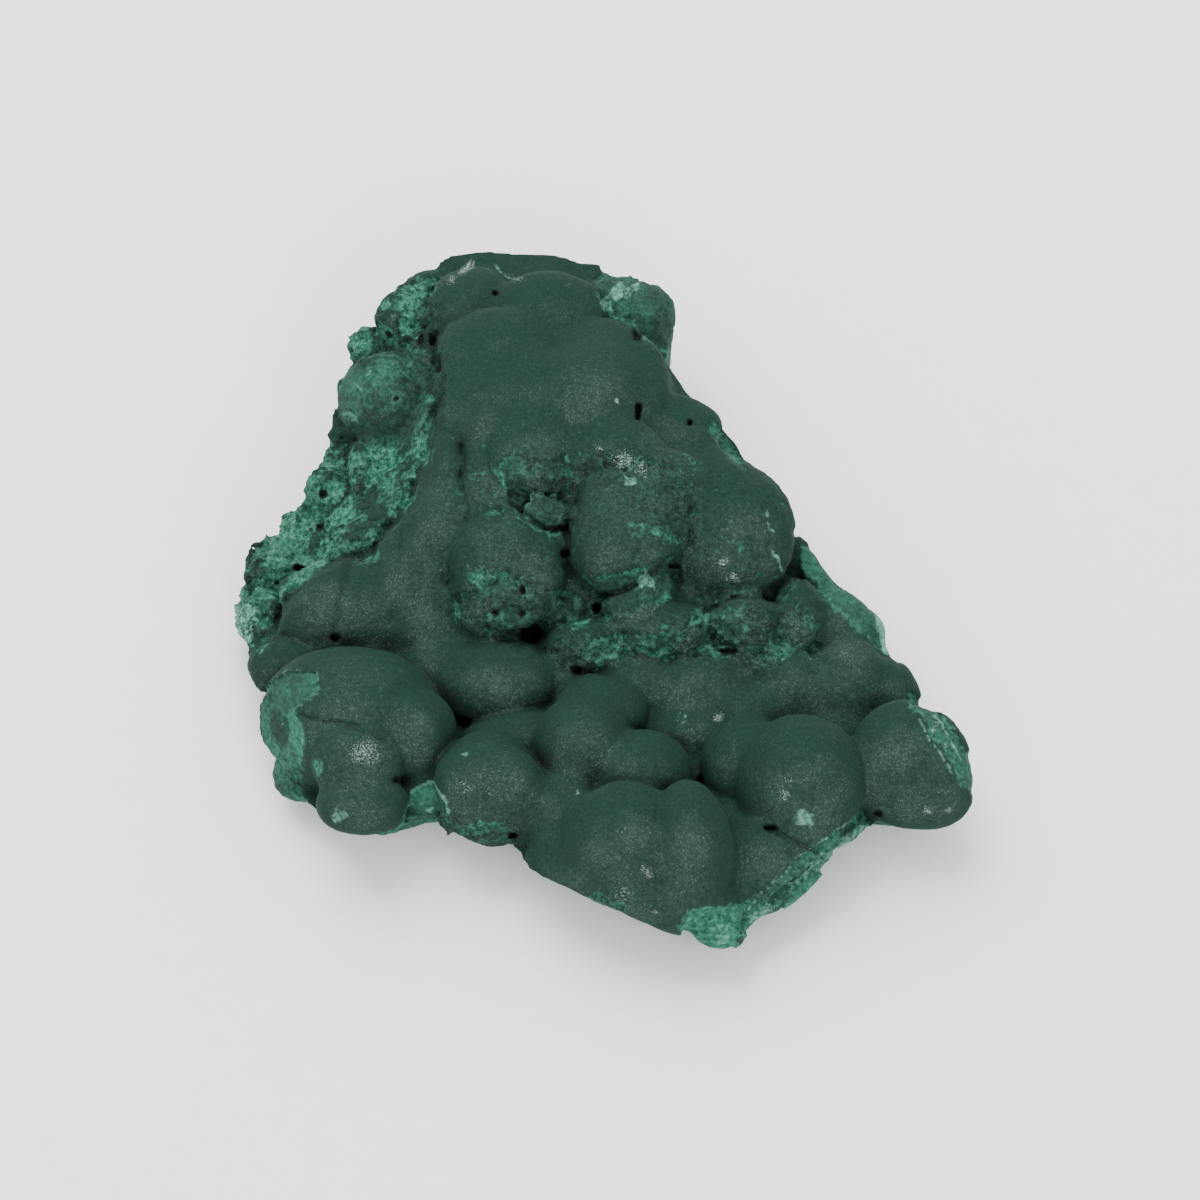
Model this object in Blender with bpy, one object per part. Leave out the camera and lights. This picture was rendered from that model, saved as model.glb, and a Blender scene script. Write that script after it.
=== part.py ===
"""A botryoidal malachite specimen: one stone, a crust of rounded lobes grown over a broken mass.

Frame: +Z up, X to the right, Y away from the front. The origin is the middle of the
stone's box, on the plane that it rests on.

The stone was set out through a drawing grid, as a finds illustrator does: the grid stands
square to a line of sight that dips SIGHT_DIP below the horizontal, u runs to the right
across it and v up it, both in squares from its middle. Heights are in squares above the
resting plane. place() turns these readings into a point.
"""

import math
import random

import bmesh
import bpy
from mathutils import Matrix, Vector

# Driving dimensions, in metres and radians.
STONE_WIDTH = 0.112
SIGHT_DIP = math.radians(60)

# The stone is this many squares wide on the grid.
SQUARES_ACROSS = 74.7
SQUARE = STONE_WIDTH / SQUARES_ACROSS

TOWARDS_EYE = Vector((0, -math.cos(SIGHT_DIP), math.sin(SIGHT_DIP)))

# The rim of the crust, clockwise from the back left corner: (u, v, height).
RIM = (
    (-16.2, 33.9, 12.5), (-13.6, 35.4, 13.5), (-10.5, 35.0, 14.0), (-8.0, 34.8, 14.0),
    (-4.0, 34.4, 14.0), (-1.5, 33.7, 13.5), (1.0, 33.2, 13.0), (4.6, 32.9, 12.5),
    (6.8, 31.3, 12.0), (7.7, 28.8, 11.5), (6.6, 26.2, 11.5), (6.3, 24.0, 12.0),
    (8.5, 21.0, 12.0), (11.5, 18.2, 11.5), (13.6, 15.2, 11.0), (14.6, 13.2, 11.0),
    (17.5, 11.3, 11.5), (18.5, 8.6, 11.0), (19.5, 6.3, 10.0), (21.8, 3.1, 9.0),
    (25.2, 1.0, 8.5), (28.0, -1.2, 8.0), (28.8, -4.0, 8.0), (29.0, -5.8, 8.0),
    (31.0, -8.6, 8.0), (32.6, -11.2, 8.0), (35.0, -13.2, 7.5), (36.6, -16.2, 7.0),
    (37.0, -19.3, 6.5), (35.6, -21.8, 6.0), (33.2, -22.6, 6.0), (30.3, -22.0, 6.0),
    (28.4, -21.6, 6.0), (25.6, -24.0, 5.5), (21.6, -26.0, 5.5), (19.0, -27.8, 5.5),
    (16.8, -30.4, 5.5), (14.4, -32.3, 6.0), (14.0, -33.8, 6.0), (12.4, -34.8, 5.5),
    (10.2, -33.8, 5.5), (8.3, -32.2, 6.0), (5.0, -31.4, 6.0), (1.5, -30.2, 5.5),
    (-2.0, -28.6, 5.5), (-5.2, -26.6, 5.5), (-8.0, -25.0, 5.0), (-11.0, -23.8, 5.0),
    (-13.2, -23.2, 5.0), (-15.0, -21.8, 5.5), (-17.6, -21.6, 6.0), (-20.0, -22.0, 6.0),
    (-22.6, -22.9, 6.0), (-25.6, -22.6, 6.0), (-28.8, -20.6, 5.5), (-31.2, -19.6, 5.5),
    (-32.6, -16.4, 6.0), (-33.8, -12.6, 6.5), (-34.6, -9.2, 7.0), (-34.9, -6.6, 7.0),
    (-35.0, -5.2, 6.0), (-36.0, -4.0, 5.0), (-37.1, -2.0, 4.5), (-37.4, -0.4, 4.5),
    (-36.8, 1.6, 5.0), (-36.0, 4.0, 5.5), (-34.0, 6.8, 6.0), (-31.5, 9.2, 6.5),
    (-29.0, 12.5, 7.0), (-27.5, 15.5, 7.5), (-26.9, 19.0, 8.5), (-26.2, 22.5, 9.0),
    (-25.4, 25.3, 9.5), (-23.4, 27.8, 10.0), (-22.0, 29.8, 10.5), (-20.4, 31.0, 11.0),
    (-18.2, 31.4, 11.5), (-16.9, 32.4, 12.0),
)

# Spot heights of the mass that the lobes grow on: (u, v, height).
SPOTS = (
    # back plateau
    (-13.0, 31.0, 16.5), (-5.0, 31.0, 17.0), (0.0, 29.0, 16.0), (-6.0, 27.0, 18.5),
    (-11.5, 24.0, 19.0), (-1.0, 20.5, 19.5), (-10.0, 19.0, 19.5), (2.0, 16.0, 19.6),
    (4.0, 24.0, 16.5), (5.0, 20.0, 17.5), (8.0, 16.0, 18.0), (10.0, 13.0, 17.5),
    (14.5, 11.0, 16.4), (-16.0, 27.0, 17.0), (-15.5, 18.0, 17.0), (4.0, 29.0, 14.0),
    (9.5, 18.0, 12.8), (12.4, 15.4, 12.0),
    # steps down from the plateau
    (-6.5, 14.0, 18.8), (-5.5, 8.5, 16.2), (-3.8, 4.5, 13.5), (2.5, 7.5, 17.0), (2.5, 12.0, 19.0),
    (4.0, 0.5, 13.6), (6.5, -3.0, 11.8), (-1.5, -4.0, 11.0), (9.0, 6.0, 15.4), (8.6, 12.0, 18.2),
    (14.0, 6.0, 15.8), (8.5, 0.0, 12.6), (13.5, -2.5, 11.8), (20.0, -1.5, 11.0),
    (16.5, -5.5, 10.3), (-6.0, -3.0, 9.0),
    # left shoulder, falling towards the front
    (-15.0, 13.0, 17.0), (-17.0, 8.0, 15.0), (-19.5, 9.0, 14.0), (-22.5, 5.5, 12.0),
    (-20.0, 1.0, 12.0), (-8.5, 2.5, 15.0), (-11.0, -2.0, 12.0), (-24.5, 0.0, 10.5),
    (-17.0, -4.0, 9.0), (-11.0, 9.0, 16.0),
    # broken slope down to the left rim
    (-19.5, 28.0, 13.0), (-21.5, 20.5, 12.0), (-22.0, 15.0, 12.0), (-25.0, 10.0, 9.5),
    (-30.0, 5.0, 7.0), (-34.0, 1.0, 5.5), (-27.0, 15.0, 8.5), (-31.0, -1.0, 7.0),
    # valley across the middle, and the strip along the right rim
    (10.0, -9.0, 9.0), (19.0, -8.5, 9.5), (25.0, -8.0, 9.5), (4.0, -8.0, 9.0),
    (8.0, -13.5, 8.0), (2.0, -6.0, 9.0), (-10.0, -9.0, 7.5), (-14.5, -11.5, 6.0),
    (21.0, 4.0, 10.0), (25.0, -1.0, 9.3), (27.0, -4.0, 9.0),
    # front ridge
    (-30.0, -5.0, 9.0), (-26.0, -2.0, 9.5), (-25.0, -14.0, 8.0), (-11.5, -18.5, 8.0),
    (-1.0, -14.5, 9.0), (5.5, -17.0, 8.5), (-4.5, -20.0, 8.5), (5.0, -25.0, 8.5),
    (15.5, -27.0, 9.0), (20.0, -18.5, 9.0), (30.5, -16.5, 9.0), (13.0, -33.0, 7.0),
    (24.5, -23.0, 8.5), (17.5, -29.5, 8.5), (-4.0, -26.0, 8.0), (1.0, -29.5, 7.5),
    (-13.0, -22.0, 7.0), (-24.0, -21.5, 7.0), (34.5, -19.0, 8.0),
)
SPOT_REACH = 3.2  # squares over which a spot height counts

# Lobes: (u, v, half width, half height up the grid, half thickness, how far the lobe's
# middle stands off the mass towards the eye, turn in degrees).
LOBES = {
    "left knot": (
        (-27.0, -1.0, 5.6, 5.4, 4.4, -0.6, 0), (-31.0, -6.6, 4.3, 3.1, 3.6, -1.2, 0),
        (-27.4, -5.0, 2.4, 1.6, 1.8, -0.4, 0), (-25.0, -12.0, 9.3, 7.4, 6.4, 0.9, 0),
    ),
    "knot bumps": (
        (-18.3, -13.4, 4.0, 4.6, 3.8, 4.8, 0), (-24.4, -16.2, 4.9, 4.0, 3.4, 4.8, 0),
        (-23.6, -20.4, 4.8, 3.2, 3.6, 3.0, 0), (-13.9, -18.4, 2.8, 3.2, 2.4, 4.7, 0),
        (-9.0, -18.2, 3.2, 3.6, 2.6, 4.4, 0), (-17.0, -19.6, 3.4, 2.6, 3.0, 1.0, 0),
    ),
    "front row": (
        (-11.3, -18.9, 5.5, 5.9, 5.0, 1.5, 0), (-8.0, -13.6, 6.0, 2.6, 3.4, -0.2, 8),
        (-1.7, -14.2, 5.0, 4.9, 4.6, 1.2, 0), (0.0, -11.4, 4.8, 3.9, 3.8, 0.3, 0),
        (4.5, -17.4, 4.9, 4.7, 4.4, 1.1, 0), (2.8, -25.0, 6.5, 7.1, 5.2, 2.3, 0),
        (8.7, -25.2, 4.5, 7.5, 5.0, 2.4, 0),
    ),
    "front skirts": (
        (-3.4, -22.6, 3.8, 5.4, 3.4, 0.4, 20), (-1.5, -28.0, 6.0, 2.8, 3.2, 0.6, -25),
        (17.0, -26.0, 8.6, 4.6, 3.0, -0.6, 38), (12.6, -32.0, 3.4, 2.6, 2.6, -0.4, 38),
        (6.2, -30.2, 3.6, 2.6, 3.2, 2.0, 0),
    ),
    "right end": (
        (20.0, -17.8, 6.6, 6.3, 5.6, 1.3, 0), (14.6, -16.2, 4.8, 4.4, 3.8, 0.3, 0),
        (30.8, -16.5, 6.2, 6.6, 4.4, 1.2, 28), (33.2, -18.6, 4.2, 4.2, 3.4, 1.0, 0),
    ),
    "valley": (
        (9.7, -9.0, 5.2, 4.4, 3.2, -0.8, 0), (19.0, -8.8, 3.8, 4.2, 2.8, -0.7, 0),
        (24.8, -8.4, 3.9, 4.6, 2.9, -0.6, 0), (3.8, -8.4, 4.2, 3.4, 3.0, -0.9, 0),
        (15.0, -11.6, 3.8, 3.0, 2.6, -0.8, 0), (9.6, -13.4, 4.8, 3.2, 2.8, -1.0, 0),
        (-15.5, -7.0, 4.8, 3.6, 3.0, -0.9, 0), (23.8, -3.2, 3.4, 4.4, 2.6, -0.9, 0),
        (29.4, -9.6, 2.6, 3.6, 2.4, -0.8, 20),
    ),
    "valley dome": (
        (-10.3, -8.3, 6.9, 4.4, 4.6, 0.2, 0),
    ),
    "left drips": (
        (-20.4, 1.5, 3.5, 6.6, 3.4, -0.9, -14), (-24.0, -0.5, 2.6, 4.6, 2.8, -0.5, 0),
        (-17.4, 1.5, 2.8, 6.4, 2.8, -0.8, -8), (-9.2, 3.0, 5.8, 6.2, 3.4, -0.6, 10),
        (-10.6, 9.6, 3.2, 6.8, 2.6, -1.1, 8), (-15.3, 12.6, 1.9, 4.0, 2.0, -0.8, 0),
        (-16.2, 7.0, 3.0, 4.6, 2.6, -1.0, -12), (-12.3, 11.0, 1.6, 5.4, 1.9, -0.7, 0),
        (-17.5, -3.0, 3.6, 2.8, 2.8, -0.6, 0), (-13.6, 0.5, 2.2, 5.0, 2.3, -0.9, 0),
        (-11.0, -1.4, 3.6, 2.2, 2.4, 0.2, 0),
    ),
    "middle steps": (
        (-6.8, 13.8, 4.2, 3.4, 2.6, -0.7, 0), (2.5, 5.8, 5.5, 5.6, 3.6, -0.8, 0),
        (6.6, 10.8, 4.6, 4.4, 2.6, -1.2, 0), (7.5, 7.0, 1.5, 1.4, 1.4, 0.2, 0),
        (14.2, 6.8, 5.6, 6.4, 3.8, -0.5, 0), (11.4, 11.6, 5.0, 3.6, 2.6, -1.2, -25),
    ),
    "terraces": (
        (3.8, 0.2, 4.0, 2.7, 2.6, 0.0, 22), (14.6, -2.4, 3.8, 2.9, 2.6, 0.2, 0),
        (19.6, -1.8, 2.8, 4.0, 2.6, 0.0, 0), (16.7, -5.3, 2.6, 1.8, 2.0, 0.0, 0),
        (6.6, -3.2, 4.9, 2.7, 2.6, -0.1, 15), (-1.0, -4.4, 4.3, 2.8, 2.6, 0.0, 0),
        (-4.5, -0.9, 3.0, 2.0, 2.2, 0.2, 0), (-4.6, 5.5, 2.0, 1.8, 1.6, -0.2, 0),
        (-5.6, 8.7, 2.4, 1.4, 1.6, 0.3, 0),
    ),
    "back plateau": (
        (-0.8, 21.5, 4.8, 4.6, 2.8, -0.9, 0), (0.4, 21.9, 6.4, 6.4, 2.5, -1.5, 0),
        (-10.0, 25.0, 5.4, 4.4, 2.4, -1.1, 0), (-12.0, 20.0, 4.8, 4.2, 2.2, -0.9, 0),
        (-6.5, 20.8, 4.6, 4.6, 2.2, -1.0, 0), (-13.0, 29.2, 4.6, 4.4, 2.5, -1.3, 0),
        (-5.0, 29.3, 5.6, 3.8, 2.5, -1.3, 0), (-14.8, 22.0, 1.7, 5.6, 2.0, -0.7, 0),
        (6.8, 17.0, 5.4, 3.8, 2.5, -1.2, 0), (6.2, 21.5, 2.6, 4.4, 2.5, -1.4, 0),
        (1.6, 15.2, 4.6, 3.0, 2.0, -1.0, 0), (-7.0, 16.9, 4.0, 2.6, 2.0, -0.9, 0),
    ),
    "rim knobs": (
        (-19.3, 28.4, 3.4, 3.5, 3.2, -0.1, 0), (-21.3, 20.3, 5.4, 4.9, 4.4, 0.0, 0),
        (-24.0, 25.0, 1.8, 2.0, 2.0, -0.2, 0), (4.4, 29.1, 3.6, 3.6, 3.6, 0.1, 0),
        (0.8, 30.6, 2.6, 2.0, 2.4, -0.4, 0), (21.2, 2.6, 1.6, 4.4, 2.2, -0.4, 38),
        (25.0, -1.4, 1.9, 4.0, 2.4, -0.4, 55), (-17.8, 24.5, 1.6, 2.6, 1.8, -0.3, 0),
        (-27.5, 11.0, 2.4, 3.0, 2.0, -0.8, -20), (-23.5, 13.5, 2.2, 3.6, 2.0, -0.7, -15),
        (-32.5, 3.0, 3.4, 2.6, 2.2, -0.6, 30), (-33.5, -1.2, 2.6, 2.6, 2.2, -0.5, 0),
    ),
}

# How far each group's lobes face forward from straight up, in degrees.
FACING = {
    "left knot": 38, "knot bumps": 36, "front row": 42, "front skirts": 34, "right end": 38,
    "valley": 24, "valley dome": 36, "left drips": 22, "middle steps": 14, "terraces": 14,
    "back plateau": 0, "rim knobs": 12,
}

# Holes into the crust: (u, v, half width, half height, how far the hole's middle lies
# below the mass away from the eye, half depth).
PITS = {
    "drip_hole": (-7.0, -3.4, 1.7, 1.5, 0.0, 5.0),
    "ridge_hole": (-2.3, -7.1, 1.1, 0.8, 0.0, 4.0),
    "left_hole": (-26.6, -3.7, 0.9, 1.0, 0.0, 4.0),
    "knot_gap": (-20.4, -18.2, 0.8, 0.9, -4.0, 4.0),
    "plateau_slit": (3.8, 18.8, 0.6, 1.6, 0.0, 3.0),
    "knob_slot": (-16.8, 26.0, 0.7, 1.7, 0.0, 3.0),
    "step_pit": (-0.3, -0.8, 0.9, 0.9, 0.0, 4.0),
    "alcove": (-4.2, 8.0, 2.4, 1.0, -1.0, 2.4),
    "skirt_pit": (16.9, -22.7, 1.1, 0.9, -1.0, 3.0),
}

# Flat breaks through the crust, from one end of the break's edge to the other, each as
# (u, v, height), then the way that the break faces and how far below its edge it reaches.
BREAKS = {
    "front_right_break": ((13.8, -32.2, 8.0), (26.4, -21.9, 8.0), (0.62, -0.72, -0.3), 1.8),
    "left_end_break": ((-33.0, -9.5, 11.0), (-29.2, -20.0, 7.5), (-0.84, -0.41, 0.34), 16.0),
    "front_left_break": ((-15.2, -22.5, 8.0), (8.6, -33.6, 8.0), (-0.35, -0.8, -0.5), 16.0),
}
BREAK_RISE = 17.0  # squares of crust that a break takes off above its edge
BREAK_DEPTH = 20.0

RIM_STEPS = 12  # rings of the mass between its middle and the rim
MIDDLE = (0.0, -2.0)  # u and v of the middle of those rings
# Below the rim the broken sides draw in: (share of the rim's height, share of its radius).
UNDERCUT = ((0.75, 0.985), (0.5, 0.95), (0.25, 0.91), (0.0, 0.85))
CHIPPING = 0.035  # how unevenly the sides broke, as a share of the radius
CHIPPING_SEED = 11

VOXEL = 0.0008
BASE_TRIM = 0.3 * SQUARE  # worn off the underside to give the flat that it rests on
KEPT_FACES = 0.094  # share of the voxel skin's triangles that the solid keeps

MALACHITE_GREEN = (0.026, 0.094, 0.066, 1)


def place(u, v, height):
    """The point, in squares, that is read at (u, v) on the grid and stands at height."""
    away = (v - height * math.cos(SIGHT_DIP)) / math.sin(SIGHT_DIP)
    return Vector((u, away, height))


def mass_height(u, v):
    """Height of the mass at (u, v): the spot and rim heights, weighted by nearness."""
    total = 0.0
    weights = 0.0
    for spot_u, spot_v, height in SPOTS + RIM:
        gap = math.hypot(u - spot_u, v - spot_v) / SPOT_REACH
        weight = math.exp(-gap * gap) + 1e-4 / (1.0 + gap**4)
        total += weight * height
        weights += weight
    return total / weights


def clear_scene():
    for obj in list(bpy.data.objects):
        bpy.data.objects.remove(obj)


def add_mass(bm):
    """The broken mass: rings from its middle out to the rim, then in and down to the base."""
    middle_u, middle_v = MIDDLE
    rings = []
    for step in range(1, RIM_STEPS):
        share = step / RIM_STEPS
        ring = []
        for rim_u, rim_v, _ in RIM:
            u = middle_u + share * (rim_u - middle_u)
            v = middle_v + share * (rim_v - middle_v)
            ring.append(place(u, v, mass_height(u, v)))
        rings.append(ring)
    rim = [place(*spot) for spot in RIM]
    rings.append(rim)
    middle = place(middle_u, middle_v, mass_height(middle_u, middle_v))
    chips = random.Random(CHIPPING_SEED)
    for height_share, radius_share in UNDERCUT:
        ring = []
        for point in rim:
            drawn_in = middle.lerp(point, radius_share - chips.random() * CHIPPING)
            ring.append(Vector((drawn_in.x, drawn_in.y, point.z * height_share)))
        rings.append(ring)

    verts = [[bm.verts.new(point * SQUARE) for point in ring] for ring in rings]
    top = bm.verts.new(middle * SQUARE)
    count = len(RIM)
    for i in range(count):
        j = (i + 1) % count
        bm.faces.new((top, verts[0][j], verts[0][i]))
        for inner, outer in zip(verts, verts[1:]):
            bm.faces.new((inner[i], inner[j], outer[j], outer[i]))
    bm.faces.new(verts[-1])
    bmesh.ops.recalc_face_normals(bm, faces=bm.faces)


def grid_ellipsoid(bm, middle, radii, facing, turn, subdivisions):
    """An ellipsoid that faces forward by an angle from straight up.

    The first two radii are those of its outline on the grid, the third is its thickness.
    """
    half_width, half_height, half_thickness = radii
    off_sight = math.pi / 2 - SIGHT_DIP - facing
    shown = half_height**2 - (half_thickness * math.sin(off_sight)) ** 2
    half_length = math.sqrt(shown) / math.cos(off_sight)
    matrix = (
        Matrix.Translation(middle * SQUARE)
        @ Matrix.Rotation(facing, 4, "X")
        @ Matrix.Rotation(turn, 4, "Z")
        @ Matrix.Diagonal((half_width, half_length, half_thickness, 1))
        @ Matrix.Scale(SQUARE, 4)
    )
    bmesh.ops.create_icosphere(bm, subdivisions=subdivisions, radius=1, matrix=matrix)


def add_lobe(bm, facing, u, v, half_width, half_height, half_thickness, stand_off, turn):
    middle = place(u, v, mass_height(u, v)) + stand_off * TOWARDS_EYE
    radii = (half_width, half_height, half_thickness)
    grid_ellipsoid(bm, middle, radii, math.radians(facing), math.radians(turn), 4)


def new_object(name, bm):
    mesh = bpy.data.meshes.new(name)
    bm.to_mesh(mesh)
    bm.free()
    obj = bpy.data.objects.new(name, mesh)
    bpy.context.collection.objects.link(obj)
    return obj


def cut(stone, cutter):
    cutter.hide_render = True
    cutter.display_type = "WIRE"
    boolean = stone.modifiers.new(cutter.name, "BOOLEAN")
    boolean.operation = "DIFFERENCE"
    boolean.object = cutter


def pit_cutter(name, u, v, half_width, half_height, below, half_depth):
    bm = bmesh.new()
    middle = place(u, v, mass_height(u, v)) - below * TOWARDS_EYE
    radii = (half_width, half_height, half_depth)
    grid_ellipsoid(bm, middle, radii, math.pi / 2 - SIGHT_DIP, 0, 2)
    return new_object(name, bm)


def slab_cutter(name, start, end, outward, below):
    """A slab whose inner face runs from start to end and faces against outward."""
    along = end - start
    outward = (outward - outward.project(along)).normalized()
    upward = outward.cross(along).normalized()
    middle = (start + end) / 2 + (BREAK_RISE - below) / 2 * upward + BREAK_DEPTH / 2 * outward
    frame = Matrix((along.normalized(), upward, outward)).transposed().to_4x4()
    size = Matrix.Diagonal((along.length, BREAK_RISE + below, BREAK_DEPTH, 1))
    bm = bmesh.new()
    matrix = Matrix.Scale(SQUARE, 4) @ Matrix.Translation(middle) @ frame @ size
    bmesh.ops.create_cube(bm, size=1, matrix=matrix)
    bmesh.ops.recalc_face_normals(bm, faces=bm.faces)
    return new_object(name, bm)


def base_cutter():
    """Everything below the resting plane."""
    bm = bmesh.new()
    side = 2 * STONE_WIDTH
    below = Matrix.Translation((0, 0, BASE_TRIM - side / 2))
    bmesh.ops.create_cube(bm, size=side, matrix=below)
    return new_object("base_trim", bm)


def malachite_material():
    material = bpy.data.materials.new("malachite")
    material.use_nodes = True
    shader = material.node_tree.nodes["Principled BSDF"]
    shader.inputs["Base Color"].default_value = MALACHITE_GREEN
    shader.inputs["Roughness"].default_value = 0.8
    shader.inputs["Metallic"].default_value = 0.0
    return material


def add_skin(stone):
    """Wraps everything so far in one closed skin."""
    skin = stone.modifiers.new("skin", "REMESH")
    skin.mode = "VOXEL"
    skin.voxel_size = VOXEL
    skin.use_smooth_shade = True


def make_stone():
    bm = bmesh.new()
    add_mass(bm)
    for group, lobes in LOBES.items():
        for lobe in lobes:
            add_lobe(bm, FACING[group], *lobe)
    stone = new_object("malachite_stone", bm)
    stone.data.materials.append(malachite_material())

    add_skin(stone)
    for name, (start, end, outward, below) in BREAKS.items():
        cut(stone, slab_cutter(name, place(*start), place(*end), Vector(outward), below))
    for name, pit in PITS.items():
        cut(stone, pit_cutter(name, *pit))
    add_skin(stone)
    reduce = stone.modifiers.new("fewer faces", "DECIMATE")
    reduce.ratio = KEPT_FACES
    cut(stone, base_cutter())
    return stone


def stand_on_origin(stone):
    """Moves the stone and its cutters so that its box stands on the origin."""
    bpy.context.view_layer.update()
    shown = stone.evaluated_get(bpy.context.evaluated_depsgraph_get())
    corners = [Vector(vertex.co) for vertex in shown.data.vertices]
    low = Vector(map(min, zip(*corners)))
    high = Vector(map(max, zip(*corners)))
    shift = Vector(((low.x + high.x) / 2, (low.y + high.y) / 2, low.z))
    for obj in bpy.data.objects:
        obj.location -= shift


def main():
    clear_scene()
    stone = make_stone()
    stand_on_origin(stone)


main()
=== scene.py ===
import math
import random
import time

import bpy
import numpy as np
import openvdb
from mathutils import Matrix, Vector


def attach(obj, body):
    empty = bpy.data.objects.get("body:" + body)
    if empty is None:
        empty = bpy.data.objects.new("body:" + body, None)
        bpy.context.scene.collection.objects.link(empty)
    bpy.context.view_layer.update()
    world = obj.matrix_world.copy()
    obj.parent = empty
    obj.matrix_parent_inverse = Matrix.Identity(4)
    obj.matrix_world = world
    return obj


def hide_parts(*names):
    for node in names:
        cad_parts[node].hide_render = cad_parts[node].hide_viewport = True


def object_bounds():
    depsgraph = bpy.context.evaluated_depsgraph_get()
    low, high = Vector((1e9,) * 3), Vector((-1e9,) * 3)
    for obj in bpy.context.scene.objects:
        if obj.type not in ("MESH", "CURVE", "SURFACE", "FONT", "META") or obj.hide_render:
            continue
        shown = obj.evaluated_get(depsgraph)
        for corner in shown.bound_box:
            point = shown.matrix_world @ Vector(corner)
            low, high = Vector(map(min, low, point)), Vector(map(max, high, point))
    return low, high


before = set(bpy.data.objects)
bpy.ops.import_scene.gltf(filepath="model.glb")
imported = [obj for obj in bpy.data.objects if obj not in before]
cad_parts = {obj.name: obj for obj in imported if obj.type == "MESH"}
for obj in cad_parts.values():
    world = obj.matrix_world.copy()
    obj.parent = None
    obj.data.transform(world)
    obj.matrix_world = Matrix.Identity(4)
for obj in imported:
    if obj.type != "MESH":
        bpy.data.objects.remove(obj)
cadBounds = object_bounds()
started = time.time()


def report(stage):
    print(f"{stage}: {time.time() - started:.0f} s")


# the survey grid that the stone is set out on: u and v in squares, heights above the base
grid = {
    "square": 0.112 / 74.7,  # metres
    "dip": math.radians(60),  # of the line of sight below the horizontal
    "standing": (-0.000382, 0.007894, -0.00045),  # metres, where the grid's zero lies
}
sinDip, cosDip = math.sin(grid["dip"]), math.cos(grid["dip"])
towardsEye = np.array((0.0, -cosDip, sinDip))

# rim of the crust, clockwise from the back left: u, v, height
rim = np.array((
    (-16.2, 33.9, 12.5), (-13.6, 35.4, 13.5), (-10.5, 35.0, 14.0), (-8.0, 34.8, 14.0),
    (-4.0, 34.4, 14.0), (-1.5, 33.7, 13.5), (1.0, 33.2, 13.0), (4.6, 32.9, 12.5),
    (6.8, 31.3, 12.0), (7.7, 28.8, 11.5), (6.6, 26.2, 11.5), (6.3, 24.0, 12.0),
    (8.5, 21.0, 12.0), (11.5, 18.2, 11.5), (13.6, 15.2, 11.0), (14.6, 13.2, 11.0),
    (17.5, 11.3, 11.5), (18.5, 8.6, 11.0), (19.5, 6.3, 10.0), (21.8, 3.1, 9.0),
    (25.2, 1.0, 8.5), (28.0, -1.2, 8.0), (28.8, -4.0, 8.0), (29.0, -5.8, 8.0),
    (31.0, -8.6, 8.0), (32.6, -11.2, 8.0), (35.0, -13.2, 7.5), (36.6, -16.2, 7.0),
    (37.0, -19.3, 6.5), (35.6, -21.8, 6.0), (33.2, -22.6, 6.0), (30.3, -22.0, 6.0),
    (28.4, -21.6, 6.0), (25.6, -24.0, 5.5), (21.6, -26.0, 5.5), (19.0, -27.8, 5.5),
    (16.8, -30.4, 5.5), (14.4, -32.3, 6.0), (14.0, -33.8, 6.0), (12.4, -34.8, 5.5),
    (10.2, -33.8, 5.5), (8.3, -32.2, 6.0), (5.0, -31.4, 6.0), (1.5, -30.2, 5.5),
    (-2.0, -28.6, 5.5), (-5.2, -26.6, 5.5), (-8.0, -25.0, 5.0), (-11.0, -23.8, 5.0),
    (-13.2, -23.2, 5.0), (-15.0, -21.8, 5.5), (-17.6, -21.6, 6.0), (-20.0, -22.0, 6.0),
    (-22.6, -22.9, 6.0), (-25.6, -22.6, 6.0), (-28.8, -20.6, 5.5), (-31.2, -19.6, 5.5),
    (-32.6, -16.4, 6.0), (-33.8, -12.6, 6.5), (-34.6, -9.2, 7.0), (-34.9, -6.6, 7.0),
    (-35.0, -5.2, 6.0), (-36.0, -4.0, 5.0), (-37.1, -2.0, 4.5), (-37.4, -0.4, 4.5),
    (-36.8, 1.6, 5.0), (-36.0, 4.0, 5.5), (-34.0, 6.8, 6.0), (-31.5, 9.2, 6.5),
    (-29.0, 12.5, 7.0), (-27.5, 15.5, 7.5), (-26.9, 19.0, 8.5), (-26.2, 22.5, 9.0),
    (-25.4, 25.3, 9.5), (-23.4, 27.8, 10.0), (-22.0, 29.8, 10.5), (-20.4, 31.0, 11.0),
    (-18.2, 31.4, 11.5), (-16.9, 32.4, 12.0),
))

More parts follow.
